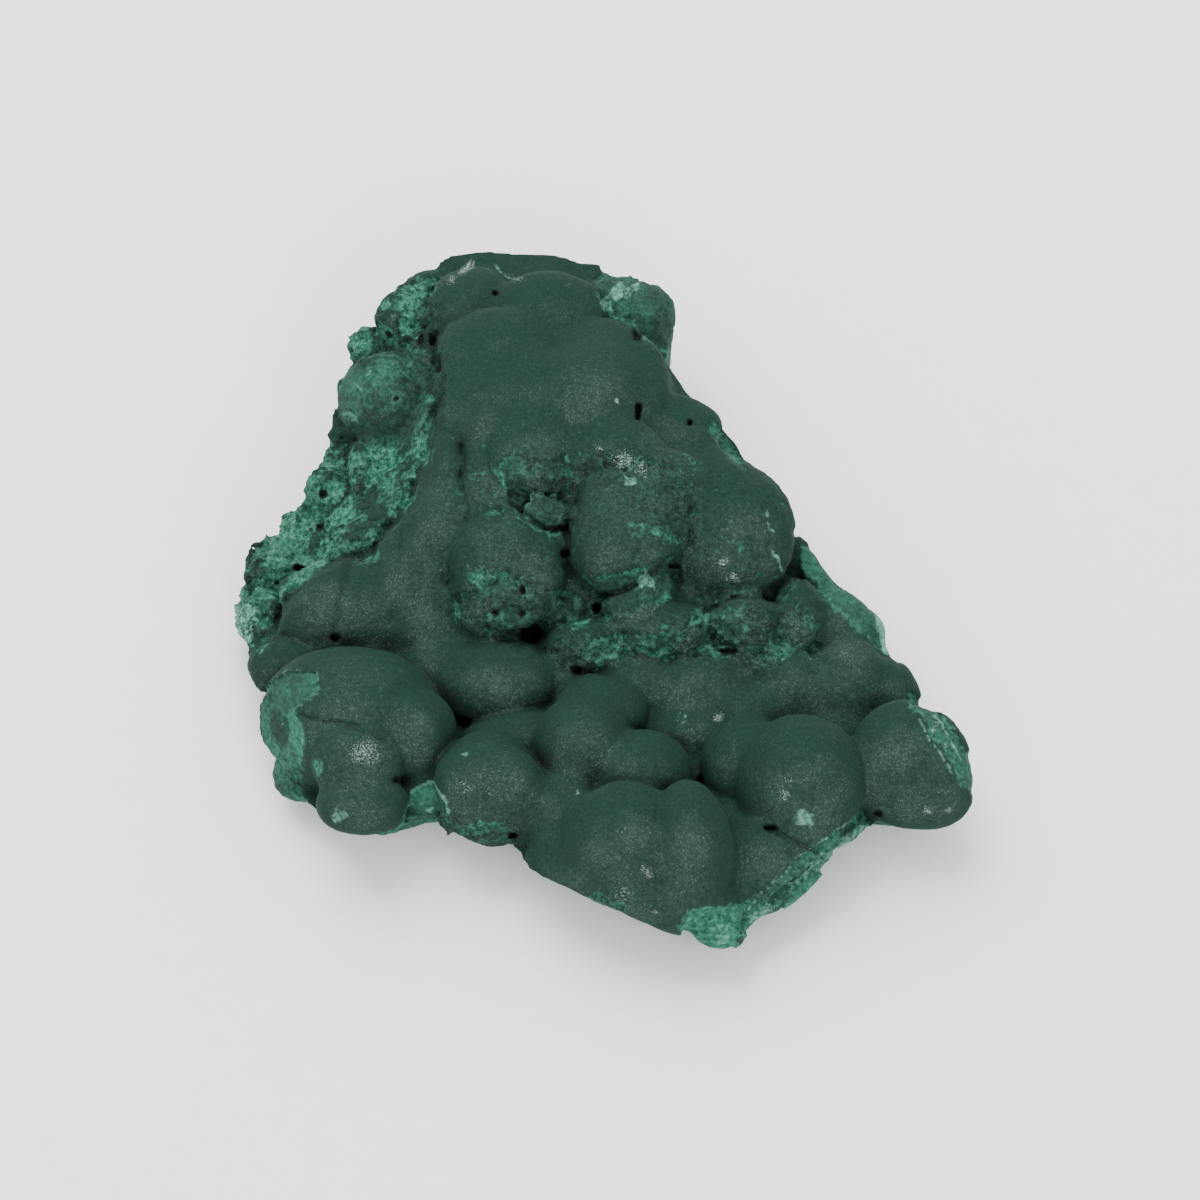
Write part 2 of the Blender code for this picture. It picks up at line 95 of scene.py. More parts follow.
# spot heights of the broken mass under the crust: u, v, height
spots = np.array((
    # back plateau
    (-13.0, 31.0, 16.5), (-5.0, 31.0, 17.0), (0.0, 29.0, 16.0), (-6.0, 27.0, 18.5),
    (-11.5, 24.0, 19.0), (-1.0, 20.5, 19.5), (-10.0, 19.0, 19.5), (2.0, 16.0, 19.6),
    (4.0, 24.0, 16.5), (5.0, 20.0, 17.5), (8.0, 16.0, 18.0), (10.0, 13.0, 17.5),
    (14.5, 11.0, 16.4), (-16.0, 27.0, 17.0), (-15.5, 18.0, 17.0), (4.0, 29.0, 14.0),
    (9.5, 18.0, 12.8), (12.4, 15.4, 12.0),
    # steps down from the plateau
    (-6.5, 14.0, 18.8), (-5.5, 8.5, 16.2), (-3.8, 4.5, 13.5), (2.5, 7.5, 17.0), (2.5, 12.0, 19.0),
    (4.0, 0.5, 13.6), (6.5, -3.0, 11.8), (-1.5, -4.0, 11.0), (9.0, 6.0, 15.4), (8.6, 12.0, 18.2),
    (14.0, 6.0, 15.8), (8.5, 0.0, 12.6), (13.5, -2.5, 11.8), (20.0, -1.5, 11.0),
    (16.5, -5.5, 10.3), (-6.0, -3.0, 9.0),
    # left shoulder, falling towards the front
    (-15.0, 13.0, 17.0), (-17.0, 8.0, 15.0), (-19.5, 9.0, 14.0), (-22.5, 5.5, 12.0),
    (-20.0, 1.0, 12.0), (-8.5, 2.5, 15.0), (-11.0, -2.0, 12.0), (-24.5, 0.0, 10.5),
    (-17.0, -4.0, 9.0), (-11.0, 9.0, 16.0),
    # broken slope down to the left rim
    (-19.5, 28.0, 13.0), (-21.5, 20.5, 12.0), (-22.0, 15.0, 12.0), (-25.0, 10.0, 9.5),
    (-30.0, 5.0, 7.0), (-34.0, 1.0, 5.5), (-27.0, 15.0, 8.5), (-31.0, -1.0, 7.0),
    # valley across the middle, and the strip along the right rim
    (10.0, -9.0, 9.0), (19.0, -8.5, 9.5), (25.0, -8.0, 9.5), (4.0, -8.0, 9.0),
    (8.0, -13.5, 8.0), (2.0, -6.0, 9.0), (-10.0, -9.0, 7.5), (-14.5, -11.5, 6.0),
    (21.0, 4.0, 10.0), (25.0, -1.0, 9.3), (27.0, -4.0, 9.0),
    # front ridge
    (-30.0, -5.0, 9.0), (-26.0, -2.0, 9.5), (-25.0, -14.0, 8.0), (-11.5, -18.5, 8.0),
    (-1.0, -14.5, 9.0), (5.5, -17.0, 8.5), (-4.5, -20.0, 8.5), (5.0, -25.0, 8.5),
    (15.5, -27.0, 9.0), (20.0, -18.5, 9.0), (30.5, -16.5, 9.0), (13.0, -33.0, 7.0),
    (24.5, -23.0, 8.5), (17.5, -29.5, 8.5), (-4.0, -26.0, 8.0), (1.0, -29.5, 7.5),
    (-13.0, -22.0, 7.0), (-24.0, -21.5, 7.0), (34.5, -19.0, 8.0),
))

# lobes of the crust: u, v, half width, half height on the grid, half thickness,
# how far the middle stands off the mass towards the eye, turn in degrees
lobes = {
    "left knot": (
        (-27.0, -1.0, 5.6, 5.4, 4.4, -0.1, 0), (-31.0, -6.6, 4.3, 3.1, 3.6, -1.2, 0),
        (-27.4, -5.0, 2.4, 1.6, 1.8, -0.4, 0), (-25.0, -12.0, 9.3, 7.4, 6.4, 0.9, 0),
        (-29.9, -17.2, 3.0, 3.0, 2.6, -1.3, 0),
    ),
    "knot bumps": (
        (-18.3, -13.4, 4.0, 4.6, 3.8, 4.8, 0), (-24.1, -16.2, 4.6, 4.0, 3.2, 3.9, 0),
        (-23.6, -20.4, 4.8, 3.2, 3.6, 3.0, 0), (-13.9, -18.4, 2.8, 3.2, 2.4, 4.7, 0),
        (-9.0, -18.2, 3.2, 3.6, 2.6, 4.4, 0), (-17.0, -19.2, 3.4, 2.4, 3.0, 0.8, 0),
    ),
    "front row": (
        (-11.3, -18.9, 5.5, 5.9, 5.0, 1.5, 0), (-8.0, -13.6, 6.0, 2.6, 3.4, -0.2, 8),
        (-1.7, -14.2, 5.0, 4.9, 4.6, 1.2, 0), (0.0, -11.4, 4.8, 3.9, 3.8, 0.3, 0),
        (4.5, -17.4, 4.9, 4.7, 4.4, 1.1, 0), (2.8, -25.0, 6.5, 7.1, 5.2, 2.3, 0),
        (8.7, -25.2, 4.5, 7.5, 5.0, 2.4, 0),
    ),
    "front skirts": (
        (-3.4, -22.6, 3.8, 5.4, 3.4, 0.4, 20), (-1.5, -28.0, 6.0, 2.8, 3.2, 0.6, -25),
        (17.0, -26.0, 8.6, 4.6, 3.0, -0.6, 38), (12.0, -32.0, 3.0, 2.6, 2.6, -0.4, 38),
        (6.2, -30.2, 3.6, 2.6, 3.2, 2.0, 0),
    ),
    "right end": (
        (20.0, -17.8, 6.6, 6.3, 5.6, 1.3, 0), (14.6, -16.2, 4.8, 4.4, 3.8, 0.3, 0),
        (30.8, -16.5, 6.2, 6.6, 4.4, 1.2, 28), (33.2, -18.6, 4.2, 4.2, 3.4, 1.0, 0),
    ),
    "valley": (
        (9.7, -9.0, 5.2, 4.4, 3.2, -0.8, 0), (19.0, -8.8, 3.8, 4.2, 2.8, -0.7, 0),
        (24.8, -8.4, 3.9, 4.6, 2.9, -0.6, 0), (3.8, -8.4, 4.2, 3.4, 3.0, -0.9, 0),
        (15.0, -11.6, 3.8, 3.0, 2.6, -0.8, 0), (9.6, -13.4, 4.8, 3.2, 2.8, -1.0, 0),
        (-15.5, -7.0, 4.8, 3.6, 3.0, -0.9, 0), (23.8, -3.2, 3.4, 4.4, 2.6, -0.9, 0),
        (29.4, -9.6, 2.6, 3.6, 2.4, -0.8, 20),
    ),
    "valley dome": (
        (-10.3, -8.3, 6.9, 4.4, 4.6, 0.2, 0),
    ),
    "left drips": (
        (-20.4, 1.5, 3.5, 6.6, 3.4, -0.5, -14), (-24.0, -0.5, 2.6, 4.6, 2.8, -0.5, 0),
        (-17.4, 1.5, 2.8, 6.4, 2.8, -0.8, -8), (-9.2, 3.0, 5.8, 6.2, 3.4, -0.6, 10),
        (-10.6, 9.6, 3.2, 6.8, 2.6, -1.1, 8), (-15.3, 12.6, 1.9, 4.0, 2.0, -0.8, 0),
        (-16.2, 7.0, 3.0, 4.6, 2.6, -1.0, -12), (-12.3, 11.0, 1.6, 5.4, 1.9, -0.7, 0),
        (-17.5, -3.0, 3.6, 2.8, 2.8, -0.6, 0), (-13.6, 0.5, 2.2, 5.0, 2.3, -0.9, 0),
        (-11.0, -1.4, 3.6, 2.2, 2.4, 0.2, 0),
    ),
    "middle steps": (
        (-6.8, 13.8, 4.2, 3.4, 2.6, -0.7, 0), (2.5, 5.8, 5.5, 5.6, 3.6, -0.8, 0),
        (6.6, 10.8, 4.6, 4.4, 2.6, -1.2, 0), (7.5, 7.0, 1.5, 1.4, 1.4, 0.2, 0),
        (14.2, 6.8, 5.6, 6.4, 3.8, -0.5, 0), (11.4, 11.6, 5.0, 3.6, 2.6, -1.2, -25),
        (3.4, 10.2, 4.4, 4.0, 2.6, -0.6, 0),
    ),
    "terraces": (
        (3.8, 0.2, 4.0, 2.7, 2.6, 0.0, 22), (14.6, -2.2, 3.8, 3.1, 2.6, 0.6, 0),
        (19.6, -1.6, 2.8, 4.1, 2.6, 0.4, 0), (16.7, -5.3, 2.6, 1.8, 2.0, 0.0, 0),
        (6.6, -3.2, 4.9, 2.7, 2.6, -0.1, 15), (-1.0, -4.4, 4.3, 2.8, 2.6, 0.0, 0),
        (-4.5, -0.9, 3.0, 2.0, 2.2, 0.2, 0), (-4.6, 5.5, 2.0, 1.8, 1.6, -0.2, 0),
        (-5.6, 8.5, 2.8, 1.9, 2.0, 0.8, 0),
    ),
    "back plateau": (
        (-0.8, 21.5, 4.8, 4.6, 2.8, -0.9, 0), (0.4, 21.9, 6.4, 6.4, 2.5, -1.5, 0),
        (-10.0, 25.0, 5.4, 4.4, 2.4, -1.1, 0), (-12.0, 20.0, 4.8, 4.2, 2.2, -0.9, 0),
        (-6.5, 20.8, 4.6, 4.6, 2.2, -1.0, 0), (-13.0, 29.2, 4.6, 4.4, 2.5, -1.3, 0),
        (-5.0, 29.3, 5.6, 3.8, 2.5, -1.3, 0), (-14.8, 22.0, 1.7, 5.6, 2.0, -0.7, 0),
        (6.8, 17.0, 5.4, 3.8, 2.5, -1.2, 0), (4.7, 21.2, 2.6, 4.2, 2.5, -1.4, 0),
        (1.6, 15.2, 4.6, 3.0, 2.0, -1.0, 0), (-7.0, 16.9, 4.0, 2.6, 2.0, -0.9, 0),
    ),
    "rim knobs": (
        (-19.3, 28.4, 3.4, 3.5, 3.2, -0.1, 0), (-21.3, 20.3, 5.4, 4.9, 4.4, 0.0, 0),
        (-23.5, 25.6, 2.0, 2.2, 2.0, -0.3, 0), (4.3, 28.8, 3.8, 3.8, 3.7, 0.1, 0),
        (0.8, 30.6, 2.6, 2.0, 2.4, -0.4, 0), (-17.3, 31.4, 2.4, 2.0, 2.2, -0.5, 0),
        (21.2, 2.6, 1.6, 4.4, 2.2, -0.4, 38), (25.0, -1.4, 1.9, 4.0, 2.4, -0.4, 55),
        (-17.8, 24.5, 1.6, 2.6, 1.8, -0.3, 0),
        (-27.5, 11.0, 2.4, 3.0, 2.0, -0.8, -20), (-23.5, 13.5, 2.2, 3.6, 2.0, -0.7, -15),
        (-32.5, 3.0, 3.4, 2.6, 2.2, -0.6, 30), (-33.5, -1.2, 2.6, 2.6, 2.2, -0.5, 0),
    ),
}

# facing: degrees that a group's lobes face forward from straight up; melt: squares over
# which neighbours run into each other
groups = {
    "left knot": {"facing": 38, "melt": 0.6},
    "knot bumps": {"facing": 36, "melt": 0.9},
    "front row": {"facing": 42, "melt": 0.6},
    "front skirts": {"facing": 34, "melt": 2.4},
    "right end": {"facing": 38, "melt": 0.7},
    "valley": {"facing": 24, "melt": 1.0},
    "valley dome": {"facing": 36, "melt": 0.7},
    "left drips": {"facing": 22, "melt": 0.9},
    "middle steps": {"facing": 14, "melt": 1.8},
    "terraces": {"facing": 14, "melt": 1.0},
    "back plateau": {"facing": 0, "melt": 1.1},
    "rim knobs": {"facing": 12, "melt": 0.8},
}

# lengths in squares
shape = {
    "voxel": 0.22,
    "spans": ((-39.5, 39.5), (-46.5, 35.5), (-1.2, 26.0)),  # x, y and z that hold the stone
    "spotReach": 3.2,  # how far a spot height counts
    "middle": (0.0, -2.0),  # u and v
    "undercut": ((0.75, 0.985), (0.5, 0.95), (0.25, 0.91), (0.0, 0.85)),  # shares of height, radius
    "chipping": 0.035,  # how unevenly the sides broke, as a share of the radius
    "chippingSeed": 11,
    "inset": 0.04,  # kept free inside the solid's box
    "triangles": 198000,
}


def massHeight(u, v):
    total = np.zeros(np.broadcast(u, v).shape)
    weights = np.zeros_like(total)
    for spotU, spotV, height in np.concatenate((spots, rim)):
        gap = np.hypot(u - spotU, v - spotV) / shape["spotReach"]
        weight = np.exp(-gap * gap) + 1e-4 / (1 + gap**4)
        total += weight * height
        weights += weight
    return total / weights


def place(u, v, height):
    return np.array((u, (v - height * cosDip) / sinDip, height))


# distances in squares, negative inside the stone
def smoothUnion(a, b, melt):
    gap = np.clip(1 - np.abs(a - b) / melt, 0, None)
    return np.minimum(a, b) - gap * gap * melt / 4


def ellipsoidField(points, centre, radii, facing, turn):
    cosF, sinF = math.cos(facing), math.sin(facing)
    cosT, sinT = math.cos(turn), math.sin(turn)
    x = points[0] - centre[0]
    y = points[1] - centre[1]
    z = points[2] - centre[2]
    y, z = y * cosF + z * sinF, z * cosF - y * sinF
    x, y = x * cosT + y * sinT, y * cosT - x * sinT
    x, y, z = x / radii[0], y / radii[1], z / radii[2]
    far = np.sqrt(x * x + y * y + z * z)
    slope = np.sqrt((x / radii[0]) ** 2 + (y / radii[1]) ** 2 + (z / radii[2]) ** 2)
    return far * (far - 1) / np.maximum(slope, 1e-6)


def lobeRadii(halfWidth, halfHeight, halfThickness, facing):
    off = math.pi / 2 - grid["dip"] - facing
    shown = halfHeight**2 - (halfThickness * math.sin(off)) ** 2
    return halfWidth, math.sqrt(shown) / math.cos(off), halfThickness


# flat breaks that cut the crust off: start and end as u, v, height, the way they face, and how
# far below that edge they reach
cuts = (
    ((13.8, -32.2, 8.0), (26.4, -21.9, 8.0), (0.62, -0.72, -0.6), 1.8),  # front right
    ((-33.0, -9.5, 11.0), (-29.2, -20.0, 7.5), (-0.84, -0.41, 0.34), 16.0),  # left end
    ((-15.2, -22.9, 8.0), (8.6, -34.1, 8.0), (-0.35, -0.8, -0.5), 16.0),  # front left
)
cutSize = {"above": 17.0, "depth": 20.0}  # squares

# places where the crust is broken open, as outlines on the grid. deep is how much of the crust
# is gone, crumbled how rough the break is, both in squares; worn is how far it has darkened again
breaks = [
    {"deep": 0.4, "crumbled": 1.0, "worn": 0.26, "edge": 1.0, "outline": (  # left slope
        (-16.8, 32.8), (-16.4, 29.0), (-16.2, 24.6), (-15.6, 22.0), (-16.0, 20.0), (-17.0, 17.4),
        (-17.3, 15.0), (-18.0, 12.5), (-19.0, 10.0), (-20.2, 8.0), (-21.8, 6.4), (-22.6, 4.8),
        (-25.6, 4.2), (-29.0, 2.6), (-31.0, 0.0), (-32.6, -2.6), (-34.0, -4.8), (-36.0, -5.0),
        (-39.0, -1.0), (-38.0, 4.0), (-34.0, 9.0), (-29.0, 15.0), (-27.0, 16.4), (-24.5, 15.2),
        (-21.0, 15.0), (-18.4, 16.6), (-16.9, 19.0), (-17.4, 23.4), (-19.0, 25.0), (-22.0, 25.2),
        (-25.0, 24.2), (-27.0, 25.5), (-24.5, 28.0), (-22.5, 31.0), (-18.5, 32.5))},
    {"deep": 0.45, "crumbled": 0.5, "worn": 0.6, "edge": 0.9, "outline": (  # back right knob
        (0.2, 34.0), (4.5, 33.5), (8.0, 31.0), (8.5, 27.0), (7.0, 25.4), (5.0, 26.0), (3.4, 27.6),
        (1.4, 28.6), (0.0, 30.2), (-0.6, 31.8))},
    {"deep": 0.45, "crumbled": 0.9, "worn": 0.68, "edge": 1.6, "outline": (  # under the big drip
        (-14.6, 0.4), (-12.0, 1.6), (-9.0, 2.4), (-6.0, 1.6), (-3.6, 0.4), (-1.0, 0.6),
        (0.0, -1.0), (-2.0, -2.4), (-4.5, -2.4), (-8.0, -3.8), (-11.0, -3.4), (-13.4, -2.0))},
    {"deep": 0.4, "crumbled": 0.7, "worn": 0.65, "edge": 1.2, "outline": (  # foot of the middle drip
        (-1.5, 0.4), (0.0, 2.0), (4.0, 3.2), (7.6, 4.8), (8.2, 3.6), (7.4, 1.4), (6.0, 0.0),
        (4.0, -1.6), (1.0, -2.0), (-0.6, -0.6))},
    {"deep": 0.4, "crumbled": 0.6, "worn": 0.65, "edge": 1.2, "outline": (  # foot of the right drip
        (9.8, 0.0), (11.0, 1.4), (14.0, 1.8), (18.0, 2.8), (19.2, 2.0), (18.6, 0.2), (16.0, -0.8),
        (12.0, -1.4), (10.2, -1.2))},
    {"deep": 0.42, "crumbled": 1.0, "worn": 0.58, "edge": 1.4, "outline": (  # terraces
        (-5.0, -4.4), (-2.0, -3.4), (2.0, -3.4), (4.0, -3.8), (7.0, -3.0), (10.0, -2.0),
        (13.0, -1.6), (16.0, -1.6), (20.0, -0.6), (21.5, -2.4), (21.0, -5.0), (18.0, -6.0),
        (16.0, -6.8), (13.5, -5.4), (9.0, -5.2), (4.0, -4.8), (2.0, -5.8), (-1.0, -6.6),
        (-4.0, -6.4))},
    {"deep": 0.45, "crumbled": 0.9, "worn": 0.68, "edge": 0.8, "outline": (  # block in the middle
        (-9.6, 14.0), (-7.0, 14.6), (-3.6, 14.4), (-2.9, 12.0), (-3.4, 7.4), (-5.4, 6.8),
        (-8.0, 8.4), (-9.2, 10.4), (-9.8, 12.0))},
    {"deep": 0.36, "crumbled": 0.85, "worn": 0.95, "edge": 1.6, "outline": (  # etched patch
        (-2.0, 14.5), (1.0, 14.0), (5.0, 13.5), (8.0, 13.0), (9.4, 11.0), (9.2, 8.0), (8.0, 6.0),
        (6.0, 7.5), (4.0, 10.0), (1.0, 12.0), (-1.6, 12.6))},
    {"deep": 0.36, "crumbled": 0.6, "worn": 0.6, "edge": 1.6, "outline": (  # on the left dome
        (-19.6, 23.6), (-17.0, 23.6), (-16.8, 18.0), (-18.6, 16.4), (-22.5, 15.4), (-25.0, 16.6),
        (-25.6, 19.0), (-23.6, 20.4), (-20.6, 21.6))},
    {"deep": 0.0, "crumbled": 0.32, "worn": 0.0, "edge": 3.0, "outline": (  # etched skin of the drips
        (-14.5, 9.0), (-10.5, 15.0), (0.0, 15.8), (8.0, 14.0), (17.5, 12.0), (19.5, 4.0),
        (17.0, -1.0), (0.0, -2.0), (-12.0, -2.0), (-15.5, 2.0))},
    {"deep": 0.3, "crumbled": 0.12, "worn": 0.5, "edge": 0.6, "outline": (  # skin of the left dome
        (-26.6, 20.0), (-26.0, 23.5), (-23.5, 25.6), (-19.5, 25.6), (-17.0, 23.5), (-16.5, 20.0),
        (-17.4, 16.5), (-21.5, 15.0), (-25.0, 16.0))},
    {"deep": 0.2, "crumbled": 0.6, "worn": 0.45, "edge": 0.3, "outline": (  # left end
        (-34.6, -8.8), (-32.8, -10.6), (-31.8, -12.6), (-30.6, -14.2), (-29.8, -16.2),
        (-29.6, -19.0), (-29.0, -21.2), (-30.5, -21.3), (-32.5, -19.5), (-35.0, -14.5),
        (-36.0, -10.5))},
    {"deep": 0.4, "crumbled": 0.5, "worn": 0.45, "edge": 0.3, "outline": (  # front right edge
        (25.8, -21.2), (21.2, -24.4), (13.0, -31.0), (14.2, -33.6), (17.0, -31.8), (20.0, -29.0),
        (23.0, -26.6), (27.0, -23.4))},
    {"deep": 0.35, "crumbled": 0.1, "worn": 0.55, "edge": 0.2, "outline": (  # window, left dome
        (-33.8, -9.4), (-32.5, -7.9), (-31.0, -7.2), (-28.2, -7.3), (-27.8, -9.0), (-29.8, -10.6),
        (-31.5, -11.6), (-33.8, -11.8))},
    {"deep": 0.5, "crumbled": 0.05, "worn": 0.4, "edge": 0.2, "outline": (  # facet by the knot
        (-19.5, -22.0), (-19.0, -19.0), (-16.5, -18.0), (-15.5, -21.2), (-17.0, -22.6))},
    {"deep": 0.4, "crumbled": 0.9, "worn": 0.5, "edge": 1.0, "outline": (  # front lower edge
        (-15.0, -21.2), (-12.6, -22.6), (-9.4, -22.8), (-7.6, -24.6), (-7.8, -26.4), (-11.0, -25.5),
        (-15.5, -23.5))},
    {"deep": 0.4, "crumbled": 0.7, "worn": 0.4, "edge": 0.8, "outline": (  # chips further right
        (-3.4, -28.2), (0.4, -29.4), (2.6, -29.8), (2.8, -31.4), (-1.0, -31.2), (-4.0, -29.6))},
    {"deep": 0.5, "crumbled": 0.3, "worn": 0.0, "edge": 0.4, "outline": (  # front corner
        (9.0, -30.9), (12.0, -30.3), (14.4, -30.9), (14.8, -32.4), (12.6, -36.0), (9.5, -35.0),
        (7.6, -32.8))},
    {"deep": 0.42, "crumbled": 0.15, "worn": 0.5, "edge": 1.2, "outline": (  # along the right rim
        (19.8, 5.6), (22.0, 4.5), (26.5, 1.5), (29.0, -1.5), (30.0, -5.8), (27.9, -4.6),
        (25.6, -3.0), (23.6, -0.6), (21.6, 1.6), (20.2, 3.5))},
    {"deep": 0.4, "crumbled": 0.25, "worn": 0.45, "edge": 0.8, "outline": (  # edge of the right end
        (30.8, -8.8), (33.0, -10.2), (36.0, -13.5), (38.0, -17.5), (37.6, -20.0), (36.2, -18.4),
        (34.6, -15.6), (32.8, -12.8), (31.2, -11.0))},
    {"deep": 0.3, "crumbled": 0.1, "worn": 0.3, "edge": 0.3, "outline": (  # sliver, back right
        (11.0, 18.0), (14.2, 14.5), (14.6, 13.0), (12.8, 14.5), (11.0, 16.8))},
]

# holes: u, v, half width, half height, depth
pits = (
    (-6.9, -3.4, 1.2, 1.0, 4.0), (-2.3, -7.1, 0.6, 0.45, 3.0), (-26.6, -3.8, 0.5, 0.35, 2.0),
    (-20.3, -17.9, 0.7, 0.24, 1.3), (3.8, 18.8, 0.2, 0.7, 1.3), (-16.7, 26.2, 0.35, 0.8, 1.8),
    (-18.0, 26.4, 0.35, 0.9, 1.8), (-0.3, -0.8, 0.55, 0.6, 2.4),
    (16.9, -22.7, 0.7, 0.22, 1.5), (-10.6, -1.2, 0.38, 0.28, 0.8), (-7.7, 1.0, 0.26, 0.4, 0.8),
    (-7.8, -1.3, 0.28, 0.24, 0.8), (-3.5, 4.6, 0.5, 0.4, 1.6), (-15.3, 1.7, 0.35, 0.35, 1.0),
    (-13.7, -12.2, 0.8, 0.4, 2.0), (-8.8, -23.4, 0.4, 0.25, 1.0), (-10.5, 30.8, 0.22, 0.2, 0.5),
    (9.0, 17.7, 0.2, 0.2, 0.5), (3.7, 26.8, 0.5, 0.9, 2.0), (-20.4, 20.2, 0.22, 0.2, 0.6),
    (12.9, -5.1, 0.9, 0.25, 1.6), (-32.5, 1.7, 0.3, 0.28, 0.8), (-27.9, 10.7, 0.25, 0.2, 0.7),
    (-28.2, 7.3, 0.25, 0.2, 0.7), (-30.1, 3.2, 0.6, 0.2, 0.8), (-21.3, 26.8, 0.3, 0.25, 0.8),
    (10.0, -18.0, 0.45, 0.7, 1.8), (27.6, -21.2, 0.4, 0.25, 1.5), (-34.2, 6.0, 0.3, 0.22, 0.8),
    (-17.0, 21.8, 0.3, 0.3, 0.8),
)

# cracks and creases: width and depth in squares, then points u, v; the depth carves them and also
# keeps them dark in the colour as painted shade
cracks = [
    {"width": 0.2, "depth": 0.25, "line": ((-3.9, 14.4), (-3.6, 13.0), (-3.4, 12.0), (-4.0, 11.5),
        (-6.0, 11.8), (-8.0, 11.4))},
    {"width": 0.25, "depth": 0.5, "line": ((-9.0, 9.7), (-7.0, 8.2), (-5.5, 7.2), (-3.3, 7.5))},
    {"width": 0.3, "depth": 0.7, "line": ((0.0, 0.3), (2.0, 0.8), (4.0, 2.0), (6.0, 3.2), (7.5, 3.6))},
    {"width": 0.2, "depth": 0.3, "line": ((10.5, -1.2), (14.0, 0.2), (18.0, 0.0), (19.7, 2.4))},
    {"width": 0.25, "depth": 0.7, "line": ((17.0, -22.8), (19.0, -24.0), (21.8, -25.2))},
    {"width": 0.4, "depth": 0.3, "line": ((-3.2, 8.0), (-3.2, 4.0), (-2.8, 0.5))},
    {"width": 0.4, "depth": 0.25, "line": ((8.9, 10.0), (9.0, 6.0), (9.2, 2.0), (9.4, -0.6))},
    {"width": 0.3, "depth": 0.4, "line": ((19.2, 7.0), (19.8, 4.0), (20.2, 1.0), (22.0, -1.0))},
    {"width": 0.25, "depth": 0.5, "line": ((-25.5, 16.0), (-25.2, 11.0), (-28.0, 8.0))},
    {"width": 0.25, "depth": 0.5, "line": ((-29.6, -11.6), (-27.0, -12.2), (-24.4, -12.4), (-21.4, -14.2))},
    {"width": 0.45, "depth": 0.8, "line": ((-16.4, 24.0), (-15.6, 22.0), (-16.2, 19.8), (-17.2, 17.3),
        (-17.4, 15.0), (-18.2, 12.5), (-19.2, 10.0), (-20.4, 8.0), (-21.9, 6.5), (-22.7, 4.9),
        (-25.6, 4.1), (-29.0, 2.5), (-31.0, 0.0), (-32.6, -2.6))},
    {"width": 0.4, "depth": 0.5, "line": ((-24.6, 3.6), (-25.5, 1.6), (-26.0, -1.0), (-26.6, -3.6))},
    {"width": 0.45, "depth": 0.45, "line": ((-19.4, 7.2), (-19.8, 3.0), (-20.6, -2.0))},
    {"width": 0.2, "depth": 0.35, "line": ((5.7, -20.6), (5.4, -24.0), (5.8, -28.0), (5.2, -31.0))},
    {"width": 0.2, "depth": 0.35, "line": ((-13.7, 15.4), (-13.8, 12.0), (-13.4, 8.0))},
    {"width": 0.2, "depth": 0.3, "line": ((-11.2, 15.0), (-11.0, 11.0), (-10.0, 8.6))},
]

# thin pale edges where the crust chipped: width and strength, then points u, v
paleEdges = [
    {"width": 0.16, "strength": 0.5, "line": ((-34.0, -8.6), (-32.4, -7.6), (-31.0, -6.9),
        (-28.1, -7.0), (-27.9, -8.6), (-28.8, -10.2))},
    {"width": 0.16, "strength": 0.45, "line": ((-28.8, -10.2), (-31.2, -11.4), (-32.2, -12.8))},
    {"width": 0.22, "strength": 0.8, "line": ((-16.6, -17.9), (-15.8, -19.6), (-15.0, -21.2))},
    {"width": 0.22, "strength": 0.7, "line": ((-19.0, -19.2), (-16.8, -18.0))},
    {"width": 0.16, "strength": 0.6, "line": ((14.2, -31.6), (16.0, -28.9), (19.0, -26.4), (22.0, -23.8),
        (25.6, -21.6))},
    {"width": 0.7, "strength": 0.7, "line": ((15.0, -31.9), (18.5, -29.1), (22.5, -26.0), (25.8, -23.0))},
    {"width": 0.2, "strength": 0.6, "line": ((31.5, -11.8), (33.2, -14.2), (35.0, -17.2))},
    {"width": 0.22, "strength": 0.7, "line": ((33.4, -11.4), (35.2, -14.0), (36.2, -16.2))},
    {"width": 0.5, "strength": 1.0, "line": ((28.0, -1.6), (28.4, -3.0), (28.7, -5.2))},
    {"width": 0.2, "strength": 0.6, "line": ((-10.6, 33.6), (-9.6, 33.0), (-8.5, 32.3))},
    {"width": 0.12, "strength": 1.0, "line": ((16.6, 8.8), (16.8, 7.6), (17.4, 6.6))},
    {"width": 0.12, "strength": 1.0, "line": ((17.3, 4.8), (18.0, 3.8), (18.3, 2.6))},
]

# frosty blooms: u, v, radius, strength
frosts = (
    (-23.7, -15.0, 2.4, 0.75), (-13.5, -18.5, 1.3, 0.6), (-14.2, -17.6, 0.7, 0.5),
    (3.0, -23.0, 1.2, 0.5), (2.0, -28.8, 1.5, 0.65), (4.8, -27.2, 0.9, 0.8), (5.2, -30.7, 0.7, 0.8),
    (18.3, -19.5, 1.1, 0.8), (18.5, -17.8, 0.7, 0.8), (14.0, -15.5, 0.9, 0.3), (28.5, -14.8, 1.0, 0.5),
    (12.5, 3.7, 0.9, 0.8), (13.2, 2.0, 0.9, 0.8), (-14.8, 32.5, 1.0, 0.8), (-13.8, 33.8, 0.9, 0.9),
    (-8.5, 32.6, 1.0, 0.7), (2.0, 14.0, 1.8, 0.7), (4.0, 13.2, 1.2, 0.7), (-0.4, 15.2, 0.7, 0.8),
    (11.6, -11.7, 0.6, 0.9), (33.7, -19.1, 0.4, 1.0), (32.6, -20.8, 0.7, 1.0), (34.8, -21.1, 0.6, 1.0),
    (33.6, -12.6, 0.6, 1.0), (34.6, -14.6, 0.5, 1.0), (-12.5, -5.5, 3.0, 0.15), (9.5, -8.5, 3.0, 0.25),
    (-3.4, 31.6, 0.8, 0.6), (-11.0, -18.5, 4.5, 0.45), (-1.5, -15.5, 3.5, 0.4), (-18.0, -13.5, 3.5, 0.4),
)
